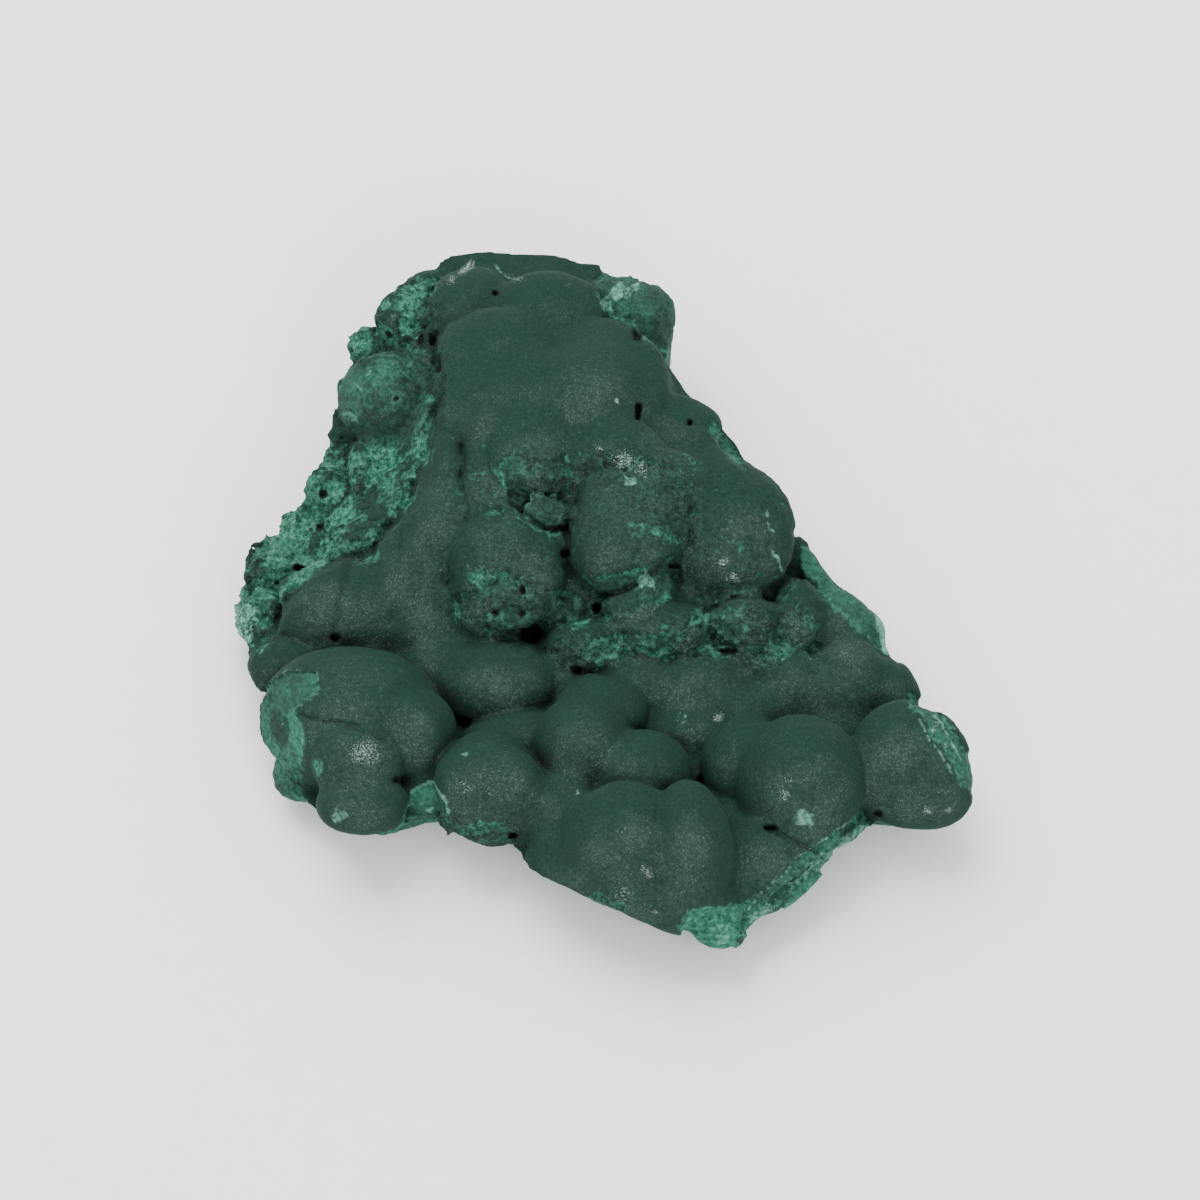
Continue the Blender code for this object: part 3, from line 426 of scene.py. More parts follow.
paleSpots = (
    (-25.9, -21.1, 0.8, 0.55), (20.6, -21.7, 0.8, 0.8), (4.8, 2.3, 0.8, 0.75), (2.8, 11.8, 0.6, 0.7),
    (-4.2, 8.6, 0.8, 0.35), (-23.2, 23.2, 0.5, 0.6), (-23.8, 21.8, 0.4, 0.6), (-25.0, 18.8, 0.5, 0.5),
    (0.9, 29.9, 0.7, 0.65), (2.0, 31.0, 0.9, 0.7), (3.6, 31.6, 0.7, 0.6), (1.5, 19.8, 0.25, 1.0),
    (-16.9, -21.0, 0.4, 0.9), (-36.5, -3.0, 1.8, 0.7), (-35.6, -1.0, 1.2, 0.6), (-1.9, -19.1, 0.22, 1.0),
    (12.0, -33.4, 1.5, 0.45), (8.0, -11.7, 0.7, 0.45), (-13.5, -15.2, 0.3, 0.5), (-10.2, -16.6, 0.5, 0.4),
)

# greyer, browner parts of the skin besides the crowns of the lobes, partly real tone and partly
# the crowns' painted sheen: u, v, radius, strength
browned = (
    (-9.5, 5.0, 5.0, 0.3), (2.5, 9.5, 6.0, 0.35), (13.5, 3.5, 4.5, 0.4), (-14.5, 10.5, 3.6, 0.6),
    (-20.0, 1.5, 4.0, 0.2), (-0.8, 21.3, 3.6, 0.7), (-6.5, 13.5, 4.0, 0.7), (-25.0, -10.0, 5.0, 0.35),
    (-24.0, -16.5, 4.5, 0.8), (-11.3, -19.5, 5.0, 0.7), (-1.7, -16.0, 4.0, 0.5), (9.0, -8.5, 4.5, 0.2),
    (18.0, -8.0, 3.0, 0.3), (24.0, -6.0, 3.4, 0.8), (30.0, -16.0, 4.5, 0.3), (-9.0, 1.0, 4.0, 0.5),
    (16.0, -26.0, 4.0, 0.2), (6.6, 14.6, 3.0, 0.3),
)


def insideOutline(u, v, outline):  # squares, positive inside
    points = np.array(outline)
    nearest = np.full(u.shape, 1e9)
    inside = np.zeros(u.shape, bool)
    for (u0, v0), (u1, v1) in zip(points, np.roll(points, -1, axis=0)):
        nearest = np.minimum(nearest, alongLine(u, v, ((u0, v0), (u1, v1))))
        crosses = (v0 > v) != (v1 > v)
        with np.errstate(divide="ignore", invalid="ignore"):
            inside ^= crosses & (u < u0 + (v - v0) * (u1 - u0) / (v1 - v0))
    return np.where(inside, nearest, -nearest)


def alongLine(u, v, line):  # distance in squares
    nearest = np.full(u.shape, 1e9)
    for (u0, v0), (u1, v1) in zip(line, line[1:]):
        du, dv = u1 - u0, v1 - v0
        along = np.clip(((u - u0) * du + (v - v0) * dv) / (du * du + dv * dv), 0, 1)
        nearest = np.minimum(nearest, np.hypot(u - u0 - along * du, v - v0 - along * dv))
    return nearest


def smoothStep(low, high, value):
    t = np.clip((value - low) / (high - low), 0, 1)
    return t * t * (3 - 2 * t)


def lump(points, cell, seed):  # seeded value noise, -1 to 1
    side = 32
    lattice = np.random.default_rng(seed).uniform(-1, 1, (side, side, side)).astype(np.float32)
    total = 0
    places = [p / cell + 500.0 for p in points]
    low = [np.floor(p).astype(np.int32) for p in places]
    part = [(p - i).astype(np.float32) for p, i in zip(places, low)]
    part = [t * t * (3 - 2 * t) for t in part]
    for corner in range(8):
        step = (corner & 1, corner >> 1 & 1, corner >> 2)
        weight = 1
        for t, s in zip(part, step):
            weight = weight * (t if s else 1 - t)
        index = [(i + s) % side for i, s in zip(low, step)]
        total = total + weight * lattice[index[0], index[1], index[2]]
    return total


def lumps(points, cell, seed, octaves=3, fade=0.5):
    total, size = 0, 1
    for octave in range(octaves):
        total = total + size * lump(points, cell / 2**octave, seed + octave)
        size *= fade
    return total


def pores(points, cell, seed):  # 1 in the middle of a pore, 0 outside all of them
    side = 32
    chance = np.random.default_rng(seed)
    jitter = chance.random((side, side, side, 3)).astype(np.float32)
    radius = (0.45 * chance.random((side, side, side)) ** 2 + 0.08).astype(np.float32)
    places = [p / cell + 500.0 for p in points]
    low = [np.floor(p).astype(np.int32) for p in places]
    deepest = np.zeros(places[0].shape, np.float32)
    for n in range(27):
        step = (n % 3 - 1, n // 3 % 3 - 1, n // 9 - 1)
        index = tuple((i + s) % side for i, s in zip(low, step))
        spot = jitter[index]
        gap = sum((p - i - s - spot[..., k]) ** 2 for k, (p, i, s) in enumerate(zip(places, low, step)))
        deepest = np.maximum(deepest, 1 - np.sqrt(gap) / radius[index])
    return deepest


def drawMaps():
    # tables over u and v of what the outlines and lists above say, with ragged edges
    step = 0.15
    axis = np.arange(-42, 42, step)
    u, v = np.meshgrid(axis, axis, indexing="ij")
    flat = (u, v, np.zeros_like(u))
    ragged = [0.5 * lumps(flat, 2.0, seed, 4, 0.6) for seed in (61, 71)]
    names = ("deep", "crumbled", "worn", "brown", "frost", "spot", "chipped", "crack")
    maps = {name: np.zeros_like(u) for name in names}
    for area in breaks:
        stray = min(1, area["edge"] / 0.6)
        depth = insideOutline(u + stray * ragged[0], v + stray * ragged[1], area["outline"])
        share = smoothStep(-area["edge"] / 2, area["edge"] / 2, depth)
        rubbed = smoothStep(-1.2 * area["edge"], 0.2, depth)
        for name, amount in (("deep", share), ("crumbled", rubbed), ("worn", share)):
            maps[name] = np.maximum(maps[name], amount * area[name])
    u, v = u + ragged[0], v + ragged[1]
    for name, spotList, fade in (
        ("frost", frosts, lambda gap: np.exp(-gap * gap)),
        ("spot", paleSpots, lambda gap: smoothStep(1.3, 0.7, gap)),
        ("brown", browned, lambda gap: smoothStep(1.2, 0.4, gap)),
    ):
        for spotU, spotV, radius, strength in spotList:
            gap = np.hypot(u - spotU, v - spotV) / radius
            maps[name] = np.maximum(maps[name], strength * fade(gap))
    u, v = (u + flat[0]) / 2, (v + flat[1]) / 2
    for name, lineList, amount in (("crack", cracks, "depth"), ("chipped", paleEdges, "strength")):
        for mark in lineList:
            gap = alongLine(u, v, mark["line"]) / mark["width"]
            maps[name] = np.maximum(maps[name], mark[amount] * np.exp(-gap * gap))

    def read(name, u, v):
        i = np.clip((u - axis[0]) / step, 0, len(axis) - 2.001)
        j = np.clip((v - axis[0]) / step, 0, len(axis) - 2.001)
        i0, j0 = i.astype(int), j.astype(int)
        s, t = i - i0, j - j0
        table = maps[name]
        low = table[i0, j0] * (1 - t) + table[i0, j0 + 1] * t
        high = table[i0 + 1, j0] * (1 - t) + table[i0 + 1, j0 + 1] * t
        return low * (1 - s) + high * s

    return read


readMap = drawMaps()
report("maps")


def measureSides():
    middle = place(*shape["middle"], float(massHeight(*map(np.array, shape["middle"]))))
    corners = np.array([place(*spot) for spot in rim])
    chips = random.Random(shape["chippingSeed"])
    undercut = [np.ones(len(rim))]
    for _, share in shape["undercut"]:
        undercut.append(np.array([share - chips.random() * shape["chipping"] for _ in rim]))
    undercut = np.array(undercut).T
    dense, shares = [], []
    for i in range(len(rim)):
        j = (i + 1) % len(rim)
        for t in np.linspace(0, 1, 8, endpoint=False):
            dense.append(corners[i] * (1 - t) + corners[j] * t)
            shares.append(undercut[i] * (1 - t) + undercut[j] * t)
    dense, shares = np.array(dense) - middle, np.array(shares)
    angle = np.unwrap(np.arctan2(dense[:, 1], dense[:, 0]))
    # the rim runs clockwise, and where it turns back for a little it goes straight across
    ahead = angle < np.append(np.inf, np.minimum.accumulate(angle)[:-1])
    dense, shares, angle = dense[ahead], shares[ahead], angle[ahead]
    radius, height = np.hypot(dense[:, 0], dense[:, 1]), dense[:, 2] + middle[2]
    return {"middle": middle, "angle": angle, "radius": radius, "height": height, "shares": shares}


sides = measureSides()


def aroundSides(angle, values):
    return np.interp(angle, sides["angle"], values, period=2 * math.pi)


def massField(xs, ys, zs):
    # the crust's underlayer alone, and the same cut off at the broken sides. The shares at the
    # end bring both slopes near to true distances
    spacing = 0.25
    tableV = np.arange(-50.0, 50.0, spacing)
    table = massHeight(xs[:, None].astype(float), tableV[None, :])
    x = xs[:, None] - sides["middle"][0]
    y = ys[None, :] - sides["middle"][1]
    angle, radius = np.arctan2(y, x), np.hypot(x, y)
    rimRadius = aroundSides(angle, sides["radius"])
    rimHeight = aroundSides(angle, sides["height"])
    knots = [1.0] + [height for height, _ in shape["undercut"]]
    shares = [aroundSides(angle, sides["shares"][:, k]) for k in range(len(knots))]
    crust = np.empty((len(xs), len(ys), len(zs)), np.float32)
    field = np.empty_like(crust)
    for k, z in enumerate(zs):
        at = (ys * sinDip + z * cosDip - tableV[0]) / spacing
        low = np.clip(at.astype(int), 0, len(tableV) - 2)
        t = at - low
        height = table[:, low] * (1 - t) + table[:, low + 1] * t
        up = np.clip(z / rimHeight, 0, 1)
        share = shares[-1]
        for n in range(len(knots) - 1, 0, -1):
            t = np.clip((up - knots[n]) / (knots[n - 1] - knots[n]), 0, 1)
            share = np.where(up >= knots[n], shares[n] * (1 - t) + shares[n - 1] * t, share)
        crust[:, :, k] = (z - height) * 0.85
        field[:, :, k] = np.maximum(crust[:, :, k], (radius - rimRadius * share) * 0.8)
    return crust, field


def boxAround(axes, centre, reach):
    return tuple(slice(*np.searchsorted(axis, (c - reach, c + reach))) for axis, c in zip(axes, centre))


def addLobes(crust, field, axes):
    for group, entries in lobes.items():
        facing = math.radians(groups[group]["facing"])
        melt = groups[group]["melt"]
        for u, v, halfWidth, halfHeight, halfThickness, standOff, turn in entries:
            height = float(massHeight(np.array(u), np.array(v)))
            centre = place(u, v, height) + standOff * towardsEye
            radii = lobeRadii(halfWidth, halfHeight, halfThickness, facing)
            box = boxAround(axes, centre, max(radii) + melt + 1.5)
            points = np.meshgrid(*(axis[b] for axis, b in zip(axes, box)), indexing="ij", sparse=True)
            lobe = ellipsoidField(points, centre, radii, facing, math.radians(turn)).astype(np.float32)
            for layer in (crust, field):
                layer[box] = smoothUnion(layer[box], lobe, melt)


def cutPlanes(points):
    # how far inside each flat break's slab the points are, and the distance to its inner face
    for start, end, outward, below in cuts:
        start, end = place(*start), place(*end)
        along = (end - start) / np.linalg.norm(end - start)
        outward = np.array(outward)
        outward = outward - along * (outward @ along)
        outward /= np.linalg.norm(outward)
        upward = np.cross(outward, along)
        gap = [p - m for p, m in zip(points, (start + end) / 2)]
        run, rise, out = (sum(g * a for g, a in zip(gap, axis)) for axis in (along, upward, outward))
        half = np.linalg.norm(end - start) / 2
        edge = np.maximum(np.abs(run) - half, np.maximum(rise - cutSize["above"], -rise - below))
        edge = np.maximum(edge, out - cutSize["depth"])
        yield edge, out


# relief of the skin, in squares; the four kinds in the middle are size, height and seed
relief = {
    "reach": 1.7,  # how far from the surface anything is carved
    "sideCrumble": 0.4,  # of the broken sides, where 1 is the roughest break on top
    "marks": {"crack": 0.8, "deep": 1.0, "chipped": -0.12},  # depth that a full mark carves
    "lumps": (3.2, 0.35, 5),  # of crumbled places
    "waves": (5.0, 0.22, 25),  # of smooth ones
    "pores": ((1.7, 0.4, 35), (0.8, 0.3, 37)),
    "wormholes": ((1.3, 0.35, 55), (0.7, 0.3, 57)),
    "flatBreak": (1.6, 0.12, 75),
    "lift": 0.1,  # gives back what the pores take on the whole
}


def carve(crust, field, axes):
    near = np.nonzero(np.abs(field) < relief["reach"])
    points = [axis[i] for axis, i in zip(axes, near)]
    x, y, z = points
    u, v = x, y * sinDip + z * cosDip
    value = field[near]
    onTop = topShare(x, y, z)
    crumbled = np.maximum(readMap("crumbled", u, v) * onTop, relief["sideCrumble"] * (1 - onTop))
    for name, depth in relief["marks"].items():
        value += readMap(name, u, v) * onTop * depth
    size, height, seed = relief["lumps"]
    value += crumbled * height * lumps(points, size, seed, 4, 0.65)
    size, height, seed = relief["waves"]
    waves = (1 - crumbled) * height * lumps(points, size, seed, 4)
    value += waves
    crust[near] += waves
    broken = np.nonzero(crumbled > 0.04)[0]
    picked = [p[broken] for p in points]
    fine = sum(height * pores(picked, size, seed) for size, height, seed in relief["pores"])
    fine += sum(
        height * (np.abs(lump(picked, size, seed)) - 0.4) for size, height, seed in relief["wormholes"])
    value[broken] += crumbled[broken] * (fine - relief["lift"])
    size, height, seed = relief["flatBreak"]
    for edge, out in cutPlanes(points):
        slab = np.maximum(edge, -out + height * lumps(points, size, seed, 3))
        value = np.maximum(value, -slab)
    field[near] = value


def topShare(x, y, z):  # 1 on the crust, 0 on the broken sides and underside
    angle = np.arctan2(y - sides["middle"][1], x - sides["middle"][0])
    return smoothStep(-2.0, 0.0, z - aroundSides(angle, sides["height"]) * 0.75)


def carvePits(field, axes):
    line = np.arange(shape["spans"][2][1], 0.0, -0.1)
    holes = np.full_like(field, 9.0)  # far from any hole
    for u, v, halfWidth, halfHeight, depth in pits:
        # the hole starts where the line of sight meets the crust
        spots = np.array([place(u, v, height) for height in line])
        index = [np.clip(np.searchsorted(axis, c), 0, len(axis) - 1) for axis, c in zip(axes, spots.T)]
        centre = spots[np.argmax(field[tuple(index)] < 0)]
        box = boxAround(axes, centre, depth + 1)
        points = np.meshgrid(*(axis[b] for axis, b in zip(axes, box)), indexing="ij")
        hole = ellipsoidField(points, centre, (halfWidth, halfHeight, depth), math.pi / 2 - grid["dip"], 0)
        hole = hole + 0.25 * lump(points, 0.9, 45)  # ragged, not round
        field[box] = np.maximum(field[box], -hole.astype(np.float32))
        holes[box] = np.minimum(holes[box], hole)
    return holes


def sample(values, axes, points):
    at = [np.clip((p - a[0]) / shape["voxel"], 0, len(a) - 2.001) for p, a in zip(points, axes)]
    low = [a.astype(int) for a in at]
    part = [a - i for a, i in zip(at, low)]
    total = 0
    for corner in range(8):
        bits = (corner & 1, corner >> 1 & 1, corner >> 2)
        weight = 1
        for t, b in zip(part, bits):
            weight = weight * (t if b else 1 - t)
        total = total + weight * values[low[0] + bits[0], low[1] + bits[1], low[2] + bits[2]]
    return total


def meshFrom(name, points, faces):
    mesh = bpy.data.meshes.new(name)
    mesh.vertices.add(len(points))
    mesh.vertices.foreach_set("co", points.astype(np.float32).ravel())
    mesh.loops.add(len(faces) * 4)
    mesh.loops.foreach_set("vertex_index", faces.astype(np.int32).ravel())
    mesh.polygons.add(len(faces))
    mesh.polygons.foreach_set("loop_start", np.arange(len(faces), dtype=np.int32) * 4)
    mesh.update(calc_edges=True)
    mesh.validate()
    return mesh


def slopeOf(values, axes, points, reach):  # which way is out, and how fast the values climb
    slope = np.stack([
        sample(values, axes, (points + reach * step).T) - sample(values, axes, (points - reach * step).T)
        for step in np.eye(3)
    ], axis=1) / (2 * reach)
    steep = np.linalg.norm(slope, axis=1) + 1e-6
    return slope / steep[:, None], steep


def closeness(field, axes, points, out, steep, reaches):  # 1 where more stone lies close by that way
    total = 0
    for reach in reaches:
        total = total + np.clip(1 - sample(field, axes, (points + out * reach).T) / (reach * steep), 0, 1)
    return total / len(reaches)


def paintMasks(mesh, points, crust, field, holes, axes):
    # what the material needs to know of each point
    x, y, z = points.T
    u, v = x, y * sinDip + z * cosDip
    onTop = topShare(x, y, z)
    lean, _ = slopeOf(crust, axes, points, 0.6)
    out, steep = slopeOf(field, axes, points, 0.3)
    inHole = smoothStep(0.3, 0.0, sample(holes, axes, points.T))
    # holes and cracks keep the darker skin colour rather than the light inside: painted shade
    depth = -sample(crust, axes, points.T) - readMap("crack", u, v) * onTop
    # the crowns, facing the front, take the greyer tone of the painted sheen
    crownSheenAndBrown = smoothStep(0.62, 1.0, lean @ np.array((0.0, -0.75, 0.66)))
    openSide = onTop * smoothStep(-0.2, 0.2, out @ towardsEye)
    masks = {
        "depth": np.clip(depth, -1, 12) * (1 - inHole),
        "worn": np.maximum(readMap("worn", u, v) * onTop, 0.35 * (1 - onTop)),
        "crumbled": np.maximum(readMap("crumbled", u, v) * onTop, 0.75 * (1 - onTop)),
        "frost": readMap("frost", u, v) * openSide,
        "spot": readMap("spot", u, v) * openSide,
        "chipped": readMap("chipped", u, v) * openSide,
        # painted shade: the more closed in a point is, in creases and holes, the darker its skin
        "creaseShade": np.maximum(closeness(field, axes, points, lean, 1.0, (0.7, 1.6, 3.2)), inHole),
        # painted shade in pores and holes
        "poreShade": np.maximum(closeness(field, axes, points, out, steep, (0.4, 0.9)), inHole),
        "ridge": closeness(-field, axes, points, -out, steep, (0.4, 0.9)),
        "crownSheenAndBrown": np.maximum(crownSheenAndBrown, readMap("brown", u, v)) * onTop,
    }
    for name, values in masks.items():
        attribute = mesh.attributes.new(name, "FLOAT", "POINT")
        attribute.data.foreach_set("value", values.astype(np.float32))
    report("masks")


def largestBody(points, faces):  # leaves out loose crumbs and closed bubbles
    body = np.arange(len(points))
    before = None
    while before is None or (body != before).any():
        before = body.copy()
        lowest = body[faces].min(axis=1)
        for corner in faces.T:
            np.minimum.at(body, corner, lowest)
        body = body[body]
    body = body[faces[:, 0]]
    used, index = np.unique(faces[body == np.bincount(body).argmax()], return_inverse=True)
    return points[used], index.reshape(-1, 4)


def makeStone():
    axes = [np.arange(*span, shape["voxel"]).astype(np.float32) for span in shape["spans"]]
    crust, field = massField(*axes)
    report("mass")
    addLobes(crust, field, axes)
    report("lobes")
    carve(crust, field, axes)
    report("carving")
    holes = carvePits(field, axes)
    low, high = ((np.array(corner) - grid["standing"]) / grid["square"] for corner in cadBounds)
    for k, axis in enumerate(axes):  # reaches no further out than the solid
        wall = np.maximum(low[k] + shape["inset"] - axis, axis - high[k] + shape["inset"])
        field = np.maximum(field, wall.reshape([-1 if n == k else 1 for n in range(3)]))
    volume = openvdb.FloatGrid(10.0)
    volume.copyFromArray(np.ascontiguousarray(field))
    points, _, faces = volume.convertToPolygons(isovalue=0.0, adaptivity=0.0)
    points, faces = largestBody(points * shape["voxel"] + np.array([axis[0] for axis in axes]), faces)
    report(f"skin of {len(faces)} faces")

    mesh = meshFrom("malachite_specimen", points * grid["square"] + grid["standing"], faces)
    stone = bpy.data.objects.new("malachite_specimen", mesh)
    bpy.context.scene.collection.objects.link(stone)
    thin = stone.modifiers.new("thin", "DECIMATE")
    thin.ratio = min(1, shape["triangles"] / (2 * len(faces)))
    thinned = bpy.data.meshes.new_from_object(stone.evaluated_get(bpy.context.evaluated_depsgraph_get()))
    stone.modifiers.clear()
    stone.data = thinned
    bpy.data.meshes.remove(mesh)
    thinned.shade_smooth()
    thinned.calc_loop_triangles()
    report(f"thinned to {len(thinned.loop_triangles)} triangles")
    co = np.empty(len(thinned.vertices) * 3, np.float32)
    thinned.vertices.foreach_get("co", co)
    paintMasks(thinned, (co.reshape(-1, 3) - grid["standing"]) / grid["square"], crust, field, holes, axes)
    return stone


stone = makeStone()
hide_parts("malachite_stone")
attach(stone, "root")


def linear(hexColour):
    channels = [int(hexColour[i:i + 2], 16) / 255 for i in (1, 3, 5)]
    return tuple(c / 12.92 if c <= 0.04045 else ((c + 0.055) / 1.055) ** 2.4 for c in channels) + (1,)


# a Mix node takes its colours in at sockets 6 and 7 and gives the mixed one at output 2
def addNode(tree, kind, sockets=None, output=0, **settings):
    node = tree.nodes.new("ShaderNode" + kind)
    for name, value in settings.items():
        setattr(node, name, value)
    for socket, value in (sockets or {}).items():
        if isinstance(value, bpy.types.NodeSocket):
            tree.links.new(value, node.inputs[socket])
        else:
            node.inputs[socket].default_value = value
    return node.outputs[output]


# botryoidal malachite, a copper carbonate grown in fibres and layers: a matt velvet skin with its
# sheen painted in, teal from the side and a greyer green end on, over banded light green where it is broken
malachite = {
    "velvetSide": "#142d26",
    "velvetFacingSheen": "#273c34",
    "velvetCreaseShade": "#0f211c",
    "bandDark": "#194a39",
    "bandLight": "#3b7561",
    "weathered": "#20392f",
    "crest": "#3d6a56",
    "rind": "#629482",
    "bloom": "#929f99",
    "dirtAndShade": "#121812",
    "sheen": "#7fd0b8",
    "sizes": {"cloud": 1 / 0.17, "mottle": 1 / 1.4, "tuft": 0.25, "sparkle": 0.17, "band": 0.9},  # mm
    "bandWander": 2.0,  # squares that the growth bands stray from the skin
    "roughness": 0.85,
    "ior": 1.66,
    "specular": 0.08,  # the fibres swallow most of the gloss
    "bumpDepth": 0.00012,  # metres
}


def velvetMalachite():
    material = bpy.data.materials.new("malachite_velvet_crust")
    material.use_nodes = True
    tree = material.node_tree
    shader = tree.nodes["Principled BSDF"]
    colour = {name: linear(value) for name, value in malachite.items() if str(value).startswith("#")}
    perMetre = {name: 1000 / size for name, size in malachite["sizes"].items()}
    where = addNode(tree, "TexCoord", output="Object")
    mask = {name: addNode(tree, "Attribute", output="Fac", attribute_name=name) for name in (
        "depth", "worn", "crumbled", "frost", "spot", "chipped", "creaseShade", "poreShade", "ridge", "crownSheenAndBrown")}
    cloud, mottle, tuft = (
        addNode(tree, "TexNoise", {
            "Vector": where, "Scale": perMetre[name], "Detail": detail, "Roughness": rough})
        for name, detail, rough in (("cloud", 5, 0.6), ("mottle", 4, 0.6), ("tuft", 2, 0.5))
    )
    grains = addNode(tree, "TexVoronoi", {"Vector": where, "Scale": perMetre["sparkle"]}, "Color")
    chance = addNode(tree, "SeparateColor", {"Color": grains}, "Red")

    # skin: painted sheen, teal on the flanks and greyer on the crowns, painted shade in the creases,
    # and a few painted glints of fibre ends
    patchy = addNode(tree, "Math", {0: mottle, 1: 0.5, 2: cloud}, operation="MULTIPLY_ADD")
    patchy = addNode(tree, "MapRange", {"Value": patchy, "From Min": 0.55, "From Max": 0.9})
    patchy = addNode(tree, "Math", {0: patchy, 1: 0.8, 2: 0.2}, operation="MULTIPLY_ADD")
    # painted sheen: crowns greyer than the teal flanks
    crownSheenAndBrown = addNode(tree, "Math", {0: mask["crownSheenAndBrown"], 1: patchy}, operation="MULTIPLY", use_clamp=True)
    # painted shade in the creases and holes
    paintedCreaseShade = addNode(tree, "MapRange", {
        "Value": mask["creaseShade"], "From Min": 0.3, "From Max": 0.8, "To Max": 0.8})
    # painted glints: specks of the pale bloom colour, most on the crowns
    thick = addNode(tree, "Math", {0: cloud, 1: 0.5, 2: chance}, operation="MULTIPLY_ADD")
    glint = addNode(tree, "MapRange", {"Value": thick, "From Min": 1.08, "From Max": 1.22})
    share = addNode(tree, "Math", {0: mask["crownSheenAndBrown"], 1: 0.1, 2: 0.03}, operation="MULTIPLY_ADD")
    glint = addNode(tree, "Math", {0: glint, 1: share}, operation="MULTIPLY")
    skin = colour["velvetSide"]
    for factor, name in ((crownSheenAndBrown, "velvetFacingSheen"), (paintedCreaseShade, "velvetCreaseShade"), (glint, "bloom")):
        skin = addNode(tree, "Mix", {0: factor, 6: skin, 7: colour[name]}, 2, data_type="RGBA")

    # inside: growth bands that follow the skin, weathered in places and dirty far down
    wander = malachite["bandWander"]
    warp = addNode(tree, "Math", {0: cloud, 1: wander, 2: mask["depth"]}, operation="MULTIPLY_ADD")
    turns = 2 * math.pi * grid["square"] * perMetre["band"]
    band = addNode(tree, "Math", {0: warp, 1: turns}, operation="MULTIPLY")
    band = addNode(tree, "Math", {0: band}, operation="SINE")
    band = addNode(tree, "Math", {0: band, 1: 0.05, 2: mottle}, operation="MULTIPLY_ADD")
    band = addNode(tree, "MapRange", {"Value": band, "From Min": 0.3, "From Max": 0.75})
    worn = addNode(tree, "Math", {0: mask["worn"], 1: cloud}, operation="ADD")
    worn = addNode(tree, "MapRange", {"Value": worn, "From Min": 0.65, "From Max": 1.15})
    dirty = addNode(tree, "Math", {0: cloud, 1: 5.0, 2: mask["depth"]}, operation="MULTIPLY_ADD")
    dirty = addNode(tree, "MapRange", {"Value": dirty, "From Min": 12, "From Max": 18, "To Max": 0.75})
    inside = colour["bandDark"]
    for factor, name in ((band, "bandLight"), (worn, "weathered"), (dirty, "dirtAndShade")):
        inside = addNode(tree, "Mix", {0: factor, 6: inside, 7: colour[name]}, 2, data_type="RGBA")

    # the inside shows where the crust is gone
    broken = addNode(tree, "Math", {0: mottle, 1: 0.4, 2: mask["depth"]}, operation="MULTIPLY_ADD")
    broken = addNode(tree, "MapRange", {"Value": broken, "From Min": 0.26, "From Max": 0.5})
    body = addNode(tree, "Mix", {0: broken, 6: skin, 7: inside}, 2, data_type="RGBA")

    # crests rubbed pale where it crumbled, painted shade in pores and holes, chipped rind, frosty bloom
    crest = addNode(tree, "MapRange", {"Value": mask["ridge"], "From Min": 0.12, "From Max": 0.6})
    for factor in (mask["crumbled"], broken):
        crest = addNode(tree, "Math", {0: crest, 1: factor}, operation="MULTIPLY")
    poreShade = addNode(tree, "MapRange", {
        "Value": mask["poreShade"], "From Min": 0.2, "From Max": 0.7, "To Max": 0.65})
    pale = addNode(tree, "Math", {0: mask["spot"], 1: mask["chipped"]}, operation="MAXIMUM")
    rind = addNode(tree, "Math", {0: mottle, 1: 1.0, 2: pale}, operation="MULTIPLY_ADD")
    rind = addNode(tree, "MapRange", {"Value": rind, "From Min": 0.85, "From Max": 1.35, "To Max": 0.8})
    bloom = addNode(tree, "Math", {0: tuft, 1: 1.4, 2: mask["frost"]}, operation="MULTIPLY_ADD")
    bloom = addNode(tree, "MapRange", {"Value": bloom, "From Min": 1.3, "From Max": 1.9})
    for factor, name in ((crest, "crest"), (poreShade, "dirtAndShade"), (rind, "rind"), (bloom, "bloom")):
        body = addNode(tree, "Mix", {0: factor, 6: body, 7: colour[name]}, 2, data_type="RGBA")

    # fine unevenness of the whole surface, stronger where it crumbled
    uneven = addNode(tree, "Math", {0: mottle, 1: tuft}, operation="ADD")
    uneven = addNode(tree, "MapRange", {
        "Value": uneven, "From Min": 0.6, "From Max": 1.4, "To Min": -0.3, "To Max": 0.3})
    strength = addNode(tree, "Math", {0: mask["crumbled"], 1: 2.0, 2: 1.0}, operation="MULTIPLY_ADD")
    uneven = addNode(tree, "Math", {0: uneven, 1: strength, 2: 1.0}, operation="MULTIPLY_ADD")
    body = addNode(tree, "VectorMath", {0: body, "Scale": uneven}, operation="SCALE")
    tree.links.new(body, shader.inputs["Base Color"])

    for socket, value in (
        ("Roughness", malachite["roughness"]), ("IOR", malachite["ior"]),
        ("Specular IOR Level", malachite["specular"]), ("Sheen Weight", 0.03),
        ("Sheen Roughness", 0.4), ("Sheen Tint", colour["sheen"]),
    ):
        shader.inputs[socket].default_value = value
    height = addNode(tree, "Math", {0: mottle, 1: mask["crumbled"]}, operation="MULTIPLY")
    height = addNode(tree, "Math", {0: height, 1: 4.0, 2: tuft}, operation="MULTIPLY_ADD")
    bump = addNode(tree, "Bump", {"Height": height, "Strength": 0.7, "Distance": malachite["bumpDepth"]})
    tree.links.new(bump, shader.inputs["Normal"])
    return material


stone.data.materials.clear()
stone.data.materials.append(velvetMalachite())
report("material")

studio = {
    "floorSide": 4.0,  # metres, as are all lengths here
    "cameraDistance": 3.0,
    "frameWidth": 0.18,
    "aim": (0.0, 0.0, 12.0),  # u, v and height on the grid
    "paper": "#fafaf8",
    "paperFibre": "#fdfdfc",
    "fibreSize": 1 / 0.9,  # mm
    "sky": 1.3,
    # place, side and watts
    "lights": {
        "softbox_above": ((-0.25, 0.45, 0.9), 0.8, 15),
        "softbox_front": ((0.3, -0.8, 0.7), 0.6, 5),
    },
}

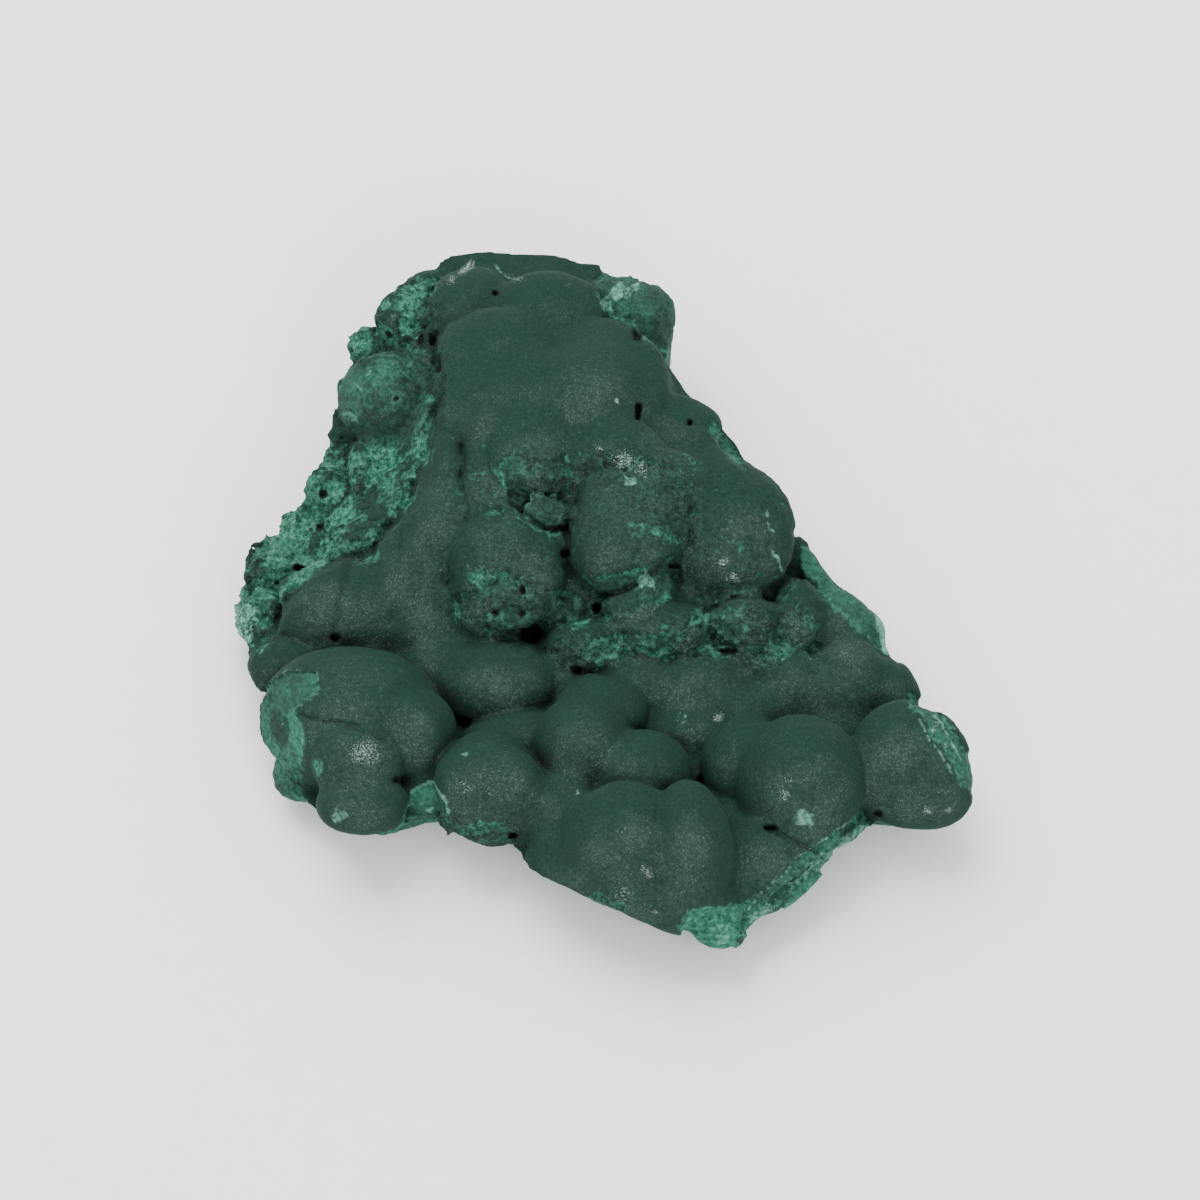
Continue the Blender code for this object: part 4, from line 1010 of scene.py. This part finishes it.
floorMesh = bpy.data.meshes.new("studio_floor")
half = studio["floorSide"] / 2
corners = [(-half, -half, 0), (half, -half, 0), (half, half, 0), (-half, half, 0)]
floorMesh.from_pydata(corners, [], [(0, 1, 2, 3)])
floor = bpy.data.objects.new("studio_floor", floorMesh)
bpy.context.scene.collection.objects.link(floor)

# matt white background paper, with no gloss to mirror the lights
paper = bpy.data.materials.new("matt_background_paper")
paper.use_nodes = True
paperShader = paper.node_tree.nodes["Principled BSDF"]
fibres = addNode(paper.node_tree, "TexNoise", {"Scale": 1000 / studio["fibreSize"], "Detail": 2.0})
tones = [linear(studio[name]) for name in ("paper", "paperFibre")]
tone = addNode(paper.node_tree, "Mix", {0: fibres, 6: tones[0], 7: tones[1]}, 2, data_type="RGBA")
paper.node_tree.links.new(tone, paperShader.inputs["Base Color"])
paperShader.inputs["Roughness"].default_value = 0.95
paperShader.inputs["Specular IOR Level"].default_value = 0.1
floorMesh.materials.append(paper)

world = bpy.data.worlds.new("studio_tent")
bpy.context.scene.world = world
world.use_nodes = True
world.node_tree.nodes["Background"].inputs["Strength"].default_value = studio["sky"]
world.node_tree.nodes["Background"].inputs["Color"].default_value = (1, 1, 1, 1)

for name, (spot, side, watts) in studio["lights"].items():
    lamp = bpy.data.lights.new(name, "AREA")
    lamp.size = side
    lamp.energy = watts
    holder = bpy.data.objects.new(name, lamp)
    bpy.context.scene.collection.objects.link(holder)
    holder.location = spot
    holder.rotation_euler = (-Vector(spot)).to_track_quat("-Z", "Y").to_euler()

camera = bpy.data.cameras.new("camera")
camera.lens = camera.sensor_width * studio["cameraDistance"] / studio["frameWidth"]
camera.clip_end = 10
eye = bpy.data.objects.new("camera", camera)
bpy.context.scene.collection.objects.link(eye)
target = Vector(place(*studio["aim"])) * grid["square"] + Vector(grid["standing"])
eye.location = target + Vector(towardsEye) * studio["cameraDistance"]
eye.rotation_euler = (-Vector(towardsEye)).to_track_quat("-Z", "Y").to_euler()
bpy.context.scene.camera = eye
report("studio")
